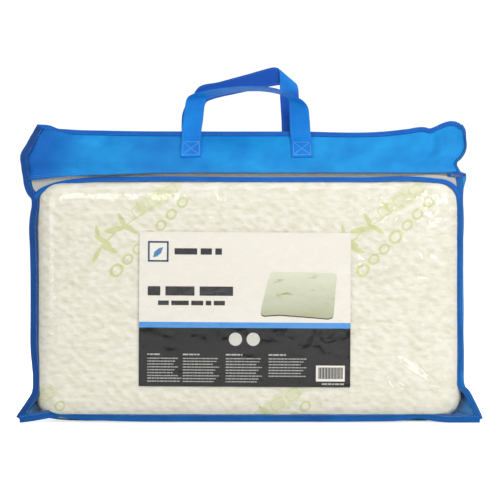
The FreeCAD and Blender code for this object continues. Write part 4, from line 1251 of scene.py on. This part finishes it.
def makeStrap(name, stations, sign, nodes):
    net, out = strapSurface(stations, strap["rows"], strap["columns"])
    rows, columns = net.shape[:2]
    across = np.linspace(-1, 1, columns)
    half = strap["skin"] / 2 * (1 - 0.45 * np.abs(across) ** 8)  # soft folded edges
    half = half[None, :, None] * (1 + 0.1 * np.cos(np.linspace(0, 60, rows)))[:, None, None]
    rough = 0.25 * wander(net[..., 0], net[..., 2] + net[..., 1], 16, 41 + sign)[..., None]
    upper, lower = net + out * (half + rough), net - out * (half - rough)
    # one closed tube: out along the upper face, back along the lower one
    ring = np.concatenate([upper, lower[:, ::-1]], axis=1)
    count = ring.shape[1]
    run = np.concatenate([[0], np.cumsum(np.linalg.norm(np.diff(net[:, columns // 2], axis=0), axis=1))]) * mm
    wide = np.concatenate([across, across[::-1]]) * 13.5 * mm
    uvs = [(run[r], wide[c]) for r in range(rows) for c in range(count)]
    faces = [(r * count + c, r * count + (c + 1) % count, (r + 1) * count + (c + 1) % count, (r + 1) * count + c)
             for r in range(rows - 1) for c in range(count)]
    last = (rows - 1) * count
    faces += [tuple(range(count))[::-1], tuple(range(last, last + count))]
    piece = newMesh(name, ring.reshape(-1, 3), faces, uvs)
    # painted shade: the strap's inner face is painted darker, and the back strap's other face is painted darker on
    # its right leg below the fold, where it lies in shadow behind the front strap
    tone = np.zeros(ring.shape[:2])
    if sign < 0:
        tone[:, :columns] = 1
    else:
        tone[:, columns:] = 1
        tone[:, :columns] = (ease(460, 444, net[..., 2]) * (net[..., 0] > 30))
    setPaintedShade(piece, tone.ravel())
    turnOut(piece)
    finishPiece(piece, None, blueStrap, angle=55, replaces=nodes)
    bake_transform(piece)
    # stitches: a row inside each hem, and a box with a cross on both sewn ends
    rowsOfThread = []
    edge = 2.6 / 27.5
    for share in (edge, 1 - edge):
        pairs = smoothLine(stations, 400)
        line = pairs[:, :3] * (1 - share) + pairs[:, 3:] * share
        ahead = np.gradient(line, axis=0)
        outward = np.cross(ahead, pairs[:, 3:] - pairs[:, :3])
        outward /= np.maximum(np.linalg.norm(outward, axis=1), 1e-6)[:, None]
        rowsOfThread.append((line + outward * (strap["skin"] / 2 + 0.1), outward))
        rowsOfThread.append((line - outward * (strap["skin"] / 2 + 0.1), -outward))
    hemStitches = stitchPiece(name + "HemStitches", rowsOfThread, length=2.4, pitch=3.6, thick=0.4)
    finishPiece(hemStitches, None, blueThread, angle=30)
    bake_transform(hemStitches)
    boxes = []
    first, final = smoothLine(stations[:4], 60), smoothLine(stations[-4:], 60)
    for pairs in (first, final):
        def spot(u, height):
            k = int(np.argmin(np.abs(pairs[:, 2] - height)))
            p = pairs[k, :3] * (1 - u) + pairs[k, 3:] * u
            return p + np.array([0, sign * (strap["skin"] / 2 + 0.25), 0])
        low, high = 364.5, 382.8
        for ends in (((0.09, low), (0.91, low)), ((0.91, low), (0.91, high)), ((0.91, high), (0.09, high)),
                     ((0.09, high), (0.09, low)), ((0.09, low), (0.91, high)), ((0.91, low), (0.09, high))):
            line = np.array([spot(ends[0][0] + (ends[1][0] - ends[0][0]) * k / 12,
                                  ends[0][1] + (ends[1][1] - ends[0][1]) * k / 12) for k in range(13)])
            boxes.append((line, (0, sign, 0.5)))
    boxStitches = stitchPiece(name + "BoxStitches", boxes, length=2.3, pitch=3.0, thick=0.6)
    finishPiece(boxStitches, bagBody, paleThread, angle=30)
    return piece


paleThread = makeThread("paleThread", "#9fc6ec")
makeStrap("frontHandle", frontStrap, -1,
          ("front_handle_tab_left", "front_handle_tab_right", "front_handle_loop"))
makeStrap("backHandle", backStrap, 1,
          ("back_handle_tab_left", "back_handle_tab_right", "back_handle_loop"))
print("handles made")


chain = {"pitch": 1.5, "travel": {"bag": 552.0, "cover": 464.0}, "coilWidth": 1.6, "gap": 0.9, "plateLow": 1.3,
         "plate": 1.0, "pinHeight": 4.0,
         "length": 11.0, "width": 5.6, "bridge": 2.0, "lug": 0.9, "eyeWidth": 2.8, "pin": 0.6,
         "pullLength": 20.0, "pullWidth": 5.6,
         "lip": 0.28, "neckEnd": 3.4, "pullCorner": 2.1, "pullRim": 0.7, "pullSink": 0.26}

zipPlace = {"bagOut": -40.568, "bagHeight": 336.377, "coverHeight": 336.3}


# Nylon monofilament coil: smooth, slightly see-through, with a soft shine.
def makeCoilSkin(name, tone):
    material, tree = newMaterial(name)
    spot = addNode(tree, "ShaderNodeTexCoord").outputs["Object"]
    cloud = addNode(tree, "ShaderNodeTexNoise", {"Scale": 90.0, "Detail": 2.0}, {"Vector": spot})
    tint = addNode(tree, "ShaderNodeMapRange", {"To Min": 0.88, "To Max": 1.06}, {"Value": cloud.outputs["Fac"]})
    colour = addNode(tree, "ShaderNodeHueSaturation", {"Color": linear(tone)}, {"Value": tint.outputs[0]})
    skin = addNode(tree, "ShaderNodeBsdfPrincipled", {"Roughness": 0.3, "IOR": 1.53, "Subsurface Weight": 0.1,
                   "Subsurface Scale": 0.001}, {"Base Color": colour.outputs[0]})
    closeMaterial(tree, skin)
    return material


# Woven polyester tape: a herringbone of fine warp threads, matt.
def makeTape(name, tone):
    material, tree = newMaterial(name)
    uv = addNode(tree, "ShaderNodeTexCoord").outputs["UV"]
    # the herringbone is 0.8 mm wide on a real tape and 1.4 mm here, so that it shows
    turned = addNode(tree, "ShaderNodeMapping", {"Rotation": (0, 0, math.radians(45))}, {"Vector": uv})
    weave = addNode(tree, "ShaderNodeTexWave", {"Scale": 0.31 / (1.4 * mm) / 2, "Distortion": 0.6, "Detail": 1.0},
                    {"Vector": turned.outputs[0]}, wave_profile="TRI")
    tint = addNode(tree, "ShaderNodeMapRange", {"To Min": 0.86, "To Max": 1.04}, {"Value": weave.outputs["Fac"]})
    colour = addNode(tree, "ShaderNodeHueSaturation", {"Color": linear(tone)}, {"Value": tint.outputs[0]})
    bump = addNode(tree, "ShaderNodeBump", {"Strength": 0.4, "Distance": 0.0004}, {"Height": weave.outputs["Fac"]})
    skin = addNode(tree, "ShaderNodeBsdfPrincipled", {"Roughness": 0.75, "Sheen Weight": 0.2},
                   {"Base Color": colour.outputs[0], "Normal": bump.outputs[0]})
    closeMaterial(tree, skin)
    return material


# Die-cast zinc under baked enamel: an even coat, glossy, rubbed thinner along its edges.
def makeEnamel(name, tone, rubbed):
    material, tree = newMaterial(name)
    spot = addNode(tree, "ShaderNodeTexCoord").outputs["Object"]
    peel = addNode(tree, "ShaderNodeTexNoise", {"Scale": 800.0, "Detail": 2.0}, {"Vector": spot})
    worn = addNode(tree, "ShaderNodeNewGeometry")
    edge = addNode(tree, "ShaderNodeValToRGB", links={"Fac": worn.outputs["Pointiness"]})
    edge.color_ramp.elements[0].position, edge.color_ramp.elements[0].color = 0.52, linear(tone)
    edge.color_ramp.elements[1].position, edge.color_ramp.elements[1].color = 0.62, linear(rubbed)
    bump = addNode(tree, "ShaderNodeBump", {"Strength": 0.15, "Distance": 0.0002}, {"Height": peel.outputs["Fac"]})
    skin = addNode(tree, "ShaderNodeBsdfPrincipled", {"Roughness": 0.28, "Coat Weight": 0.4, "Coat Roughness": 0.12},
                   {"Base Color": edge.outputs["Color"], "Normal": bump.outputs[0]})
    closeMaterial(tree, skin)
    return material


def toZipPlace(points, zipName):
    # from the zip's own frame (along, across, out) to its place on the bag or the cover
    p = np.asarray(points, float)
    if zipName == "bag":
        y, z = zipPlace["bagOut"], zipPlace["bagHeight"]
        return np.stack([p[:, 0], y - p[:, 2], z + p[:, 1]], axis=1)
    return np.stack([p[:, 0], p[:, 1], zipPlace["coverHeight"] + p[:, 2]], axis=1)


def settleInZip(obj, zipName, centre=0.0):
    # moves a piece made at the origin, in millimetres, to its zip
    count = len(obj.data.vertices)
    co = np.zeros(count * 3)
    obj.data.vertices.foreach_get("co", co)
    p = co.reshape(-1, 3)
    p[:, 0] += centre
    obj.data.vertices.foreach_set("co", (toZipPlace(p, zipName) * mm).ravel())
    obj.data.update()
    turnOut(obj)
    return obj


def pickFaces(obj, test):
    # selects the faces whose middle and normal pass a test
    bpy.ops.object.mode_set(mode="OBJECT")
    for v in obj.data.vertices:
        v.select = False
    for e in obj.data.edges:
        e.select = False
    for f in obj.data.polygons:
        f.select = bool(test(f.center, f.normal))
    bpy.ops.object.mode_set(mode="EDIT")
    bpy.ops.mesh.select_mode(type="FACE")


def startBlock(name, size, place):
    bpy.ops.object.select_all(action="DESELECT")
    bpy.ops.mesh.primitive_cube_add(size=1, location=place)
    obj = bpy.context.active_object
    obj.name = name
    obj.scale = size
    bpy.ops.object.transform_apply(location=True, rotation=True, scale=True)
    return obj


def joinPieces(objs, name):
    bpy.ops.object.select_all(action="DESELECT")
    for obj in objs:
        obj.select_set(True)
    bpy.context.view_layer.objects.active = objs[0]
    bpy.ops.object.join()
    objs[0].name = name
    return objs[0]


def softenEdges(obj, width, segments=2):
    bpy.ops.object.select_all(action="DESELECT")
    bpy.context.view_layer.objects.active = obj
    obj.select_set(True)
    edge = obj.modifiers.new("edge", "BEVEL")
    edge.width, edge.segments = width, segments
    edge.limit_method, edge.angle_limit = "ANGLE", math.radians(35)
    bpy.ops.object.modifier_apply(modifier=edge.name)
    return obj


def makePlate(name, sign):
    # a slider plate: wide at the nose, drawn in at the tail, its long edges turned towards the chain
    c = chain
    mid = sign * (c["plateLow"] + c["plate"] / 2)
    plate = startBlock(name, (c["length"], c["width"], c["plate"]), (0, 0, mid))
    bpy.ops.object.mode_set(mode="EDIT")
    bpy.ops.mesh.select_all(action="SELECT")
    bpy.ops.mesh.subdivide(number_cuts=3)
    bpy.ops.object.mode_set(mode="OBJECT")
    for v in plate.data.vertices:
        taper = 1 - 0.26 * float(ease(0.5, -5.5, v.co.x)) - 0.16 * float(ease(3.8, 5.5, v.co.x))
        v.co.y *= taper
        v.co.z += sign * 0.16 * (1 - (v.co.y / 2.8) ** 2)
    pickFaces(plate, lambda centre, normal: normal.z * sign < -0.8 and abs(centre.y) > 1.6)
    bpy.ops.mesh.extrude_region_move(TRANSFORM_OT_translate={"value": (0, 0, -sign * c["lip"])})
    bpy.ops.object.mode_set(mode="OBJECT")
    return softenEdges(plate, 0.16)


def makeSliderPiece(name, zipName, centre, bodyName, material, node):
    c = chain
    parts = [makePlate(name + "Top", 1), makePlate(name + "Bottom", -1)]
    bridge = startBlock(name + "Bridge", (c["bridge"], 0.5, 2 * (c["plateLow"] + 0.4)),
                        (c["length"] / 2 - c["bridge"] / 2 - 0.3, 0, 0))
    parts.append(softenEdges(bridge, 0.1))
    lugIn = c["eyeWidth"] / 2 + 0.2
    for side in (-1, 1):
        lug = startBlock(name + "Lug", (2.1, c["lug"], 2.6),
                         (0, side * (lugIn + c["lug"] / 2), c["plateLow"] + c["plate"] + 1.25))
        pickFaces(lug, lambda centre_, normal: normal.z > 0.8)
        bpy.ops.transform.resize(value=(0.62, 1, 1))
        bpy.ops.object.mode_set(mode="OBJECT")
        parts.append(softenEdges(lug, 0.28, 3))
    bpy.ops.object.select_all(action="DESELECT")
    bpy.ops.mesh.primitive_cylinder_add(vertices=20, radius=c["pin"], depth=2 * (lugIn + c["lug"]) + 0.3,
                                        location=(0, 0, c["pinHeight"]), rotation=(math.pi / 2, 0, 0))
    pin = bpy.context.active_object
    bpy.ops.object.transform_apply(location=True, rotation=True, scale=True)
    parts.append(softenEdges(pin, 0.12))
    piece = joinPieces(parts, name)
    settleInZip(piece, zipName, centre)
    return finishPiece(piece, bodyName, material, angle=40, replaces=(node,))


def makePullPiece(name, zipName, centre, bodyName, material, node):
    # an eye on the slider's pin, a neck and a flat tab with a pressed rim and a slot
    c = chain
    bpy.ops.object.select_all(action="DESELECT")
    bpy.ops.mesh.primitive_torus_add(major_segments=28, minor_segments=10, major_radius=1.0, minor_radius=0.32,
                                     location=(0, 0, c["pinHeight"]), rotation=(math.pi / 2, 0, 0))
    eye = bpy.context.active_object
    bpy.ops.object.transform_apply(location=True, rotation=True, scale=True)
    for v in eye.data.vertices:
        v.co.y *= 4.1  # a wide band rather than a round wire
    neck = startBlock(name + "Neck", (3.0, 2.2, 0.8), (2.5, 0, c["pinHeight"]))
    softenEdges(neck, 0.2)
    tab = startBlock(name + "Tab", (c["pullLength"] - c["neckEnd"], c["pullWidth"], 1.0),
                     (c["neckEnd"] + (c["pullLength"] - c["neckEnd"]) / 2, 0, c["pinHeight"]))
    bpy.ops.object.mode_set(mode="EDIT")
    bpy.ops.mesh.select_mode(type="EDGE")
    bpy.ops.mesh.select_all(action="DESELECT")
    bpy.ops.object.mode_set(mode="OBJECT")
    for e in tab.data.edges:
        a, b = (tab.data.vertices[i].co for i in e.vertices)
        e.select = abs(a.x - b.x) < 1e-4 and abs(a.y - b.y) < 1e-4  # the four upright corners
    bpy.ops.object.mode_set(mode="EDIT")
    bpy.ops.mesh.bevel(offset=c["pullCorner"], segments=6, affect="EDGES")
    for sign in (1, -1):
        pickFaces(tab, lambda centre_, normal: normal.z * sign > 0.9 and abs(centre_.y) < 0.6)
        bpy.ops.mesh.inset(thickness=c["pullRim"], depth=0)
        bpy.ops.mesh.inset(thickness=0.22, depth=-c["pullSink"])
    bpy.ops.object.mode_set(mode="OBJECT")
    softenEdges(tab, 0.12)
    piece = joinPieces([eye, neck, tab], name)
    settleInZip(piece, zipName, centre)
    return finishPiece(piece, bodyName, material, angle=40, replaces=(node,))


def makeCoilPiece(name, zipName, half, side, material, node):
    # one turn of the coil is shaped and then repeated along the chain
    c = chain
    # a whole number of turns fits the slider's travel, so it sits the same way at both ends
    pitch = c["travel"][zipName] / round(c["travel"][zipName] / c["pitch"])
    bpy.ops.object.select_all(action="DESELECT")
    bpy.ops.mesh.primitive_torus_add(major_segments=10, minor_segments=4, major_radius=0.82, minor_radius=0.3,
                                     rotation=(0, math.pi / 2, 0))
    turn = bpy.context.active_object
    bpy.ops.object.transform_apply(location=False, rotation=True, scale=True)
    turn.name = name
    for v in turn.data.vertices:
        v.co.y *= 1.32
        v.co.z *= 0.86
        v.co.x += 0.28 * v.co.z  # the turn leans along the chain
        v.co.y += side * (c["gap"] / 2 + c["coilWidth"] / 2 - 0.32)
    shift = 0.5 * pitch if side > 0 else 0.0
    count = int(2 * half / pitch) - 1
    row = turn.modifiers.new("row", "ARRAY")
    row.use_relative_offset, row.use_constant_offset = False, True
    row.constant_offset_displace = (pitch, 0, 0)
    row.count = count
    bpy.ops.object.modifier_apply(modifier=row.name)
    settleInZip(turn, zipName, -half + pitch / 2 + shift)
    return finishPiece(turn, bagBody, material, replaces=(node,))


def makeStops(name, zipName, half, material, node):
    parts = []
    for end in (-1, 1):
        stop = startBlock(name + "End", (1.9, 4.0, 2.0), (end * (half + 1.0), 0, 0))
        bpy.ops.object.mode_set(mode="EDIT")
        bpy.ops.mesh.select_all(action="SELECT")
        bpy.ops.mesh.subdivide(number_cuts=2)
        bpy.ops.object.mode_set(mode="OBJECT")
        for v in stop.data.vertices:
            if abs(v.co.z) > 0.9 and abs(v.co.y) < 1.0:
                v.co.z *= 0.72  # the crimp's waist
        parts.append(softenEdges(stop, 0.2))
    piece = joinPieces(parts, name)
    settleInZip(piece, zipName)
    return finishPiece(piece, bagBody, material, angle=40, replaces=(node,))


def tapeNet(lowLine, highLine, columns, rows, depth):
    a, b = smoothLine(lowLine, columns), smoothLine(highLine, columns)
    share = np.linspace(0, 1, rows)[:, None, None]
    flat = a[None] * (1 - share) + b[None] * share
    x, z = flat[..., 0], flat[..., 1]
    return np.stack([x, depth(x, z), z], axis=2)


def makeZips():
    bagHalf, coverHalf = 284.0, 240.0
    greyTape, greyCoil = makeTape("greyTape", "#b3b4ae"), makeCoilSkin("greyCoil", "#bfc0bb")
    ivoryTape, ivoryCoil = makeTape("ivoryTape", "#ece9dc"), makeCoilSkin("ivoryCoil", "#efecdf")
    navy, cream = makeEnamel("navyEnamel", "#0d3f8f", "#4a7fc0"), makeEnamel("creamEnamel", "#e6e2d3", "#c9c6bb")
    lowLine = [(-287.5, 309), (-281, 316.5), (-270, 321.5), (-248.5, 328), (-221.5, 331), (-150, 332.6),
               (0, 332.2), (150, 332),
               (250, 331), (270, 327.6), (279, 321.8), (284, 315)]
    midLow = [(-299, 331), (-292, 333.2), (-284, 334), (-200, 334.5), (0, 334.5), (200, 334.5), (276, 334.3),
              (285, 332.5)]
    midHigh = [(-300, 335), (-284, 338.2), (-200, 338.3), (0, 338.3), (200, 338.3), (284, 338.2)]
    topLine = [(-300, 343), (-284, 344), (-200, 344), (0, 344), (200, 344), (282, 344)]
    lower = netPiece("bagTapeLower", tapeNet(lowLine, midLow, 140, 6, lambda x, z: -(seamDepth(z) + 0.35)))
    thicken(lower, 0.4, offset=0.0)
    finishPiece(lower, bagBody, greyTape, angle=40, replaces=("bag_zip_tape_lower",))
    upper = netPiece("bagTapeUpper", tapeNet(midHigh, topLine, 140, 6,
                     lambda x, z: -(39.6 - 0.78 * (z - 338.3))))
    thicken(upper, 0.4, offset=0.0)
    finishPiece(upper, bagBody, greyTape, angle=40, replaces=("bag_zip_tape_upper",))
    makeCoilPiece("bagCoilLower", "bag", bagHalf, -1, greyCoil, "bag_zip_coil_lower")
    makeCoilPiece("bagCoilUpper", "bag", bagHalf, 1, greyCoil, "bag_zip_coil_upper")
    makeStops("bagStops", "bag", bagHalf, greyCoil, "bag_zip_stops")
    makeSliderPiece("bagSlider", "bag", 276.0, "bag_slider", navy, "bag_zip_slider")
    makePullPiece("bagPull", "bag", 276.0, "bag_pull", navy, "bag_zip_pull")
    coverTapes = {}
    for word, side in (("Front", -1), ("Back", 1)):
        edge = [(-coverHalf, side * 2.0), (coverHalf, side * 2.0)]
        far = [(-coverHalf, side * 8.6), (coverHalf, side * 8.6)]
        net = tapeNet(edge if side > 0 else far, far if side > 0 else edge, 120, 5, lambda x, y: y)
        flat = net.copy()
        flat[..., 2] = 336.45 + 0.15 * wander(net[..., 0], net[..., 1], 22, 51 + side)
        tape = netPiece(f"coverTape{word}", flat)
        thicken(tape, 0.4, offset=0.0)
        finishPiece(tape, bagBody, ivoryTape, angle=40, replaces=(f"cover_zip_tape_{word.lower()}",))
        coverTapes[word] = tape
        makeCoilPiece(f"coverCoil{word}", "cover", coverHalf, side, ivoryCoil,
                      f"cover_zip_coil_{word.lower()}")
    makeStops("coverStops", "cover", coverHalf, ivoryCoil, "cover_zip_stops")
    makeSliderPiece("coverSlider", "cover", 232.0, "cover_slider", cream, "cover_zip_slider")
    makePullPiece("coverPull", "cover", 232.0, "cover_pull", cream, "cover_zip_pull")
    # the care label: a folded satin ribbon beside the zip, blank
    xs, zs = np.linspace(-180, -150, 16), np.linspace(336.4, 354.0, 12)
    x, z = np.meshgrid(xs, zs)
    y = 9.5 + 0.9 * np.sin((x + 180) / 30 * np.pi) * ((z - 336) / 18) ** 2
    label = netPiece("careLabel", np.stack([x, y, z], axis=2))
    thicken(label, 0.3, offset=0.0)
    finishPiece(label, bagBody, makeTape("satinRibbon", "#f1f1ef"), angle=40, replaces=("care_label",))
    return label, lower, upper, coverTapes


labelPiece, tapeLower, tapeUpper, coverTapes = makeZips()
print("zips made")
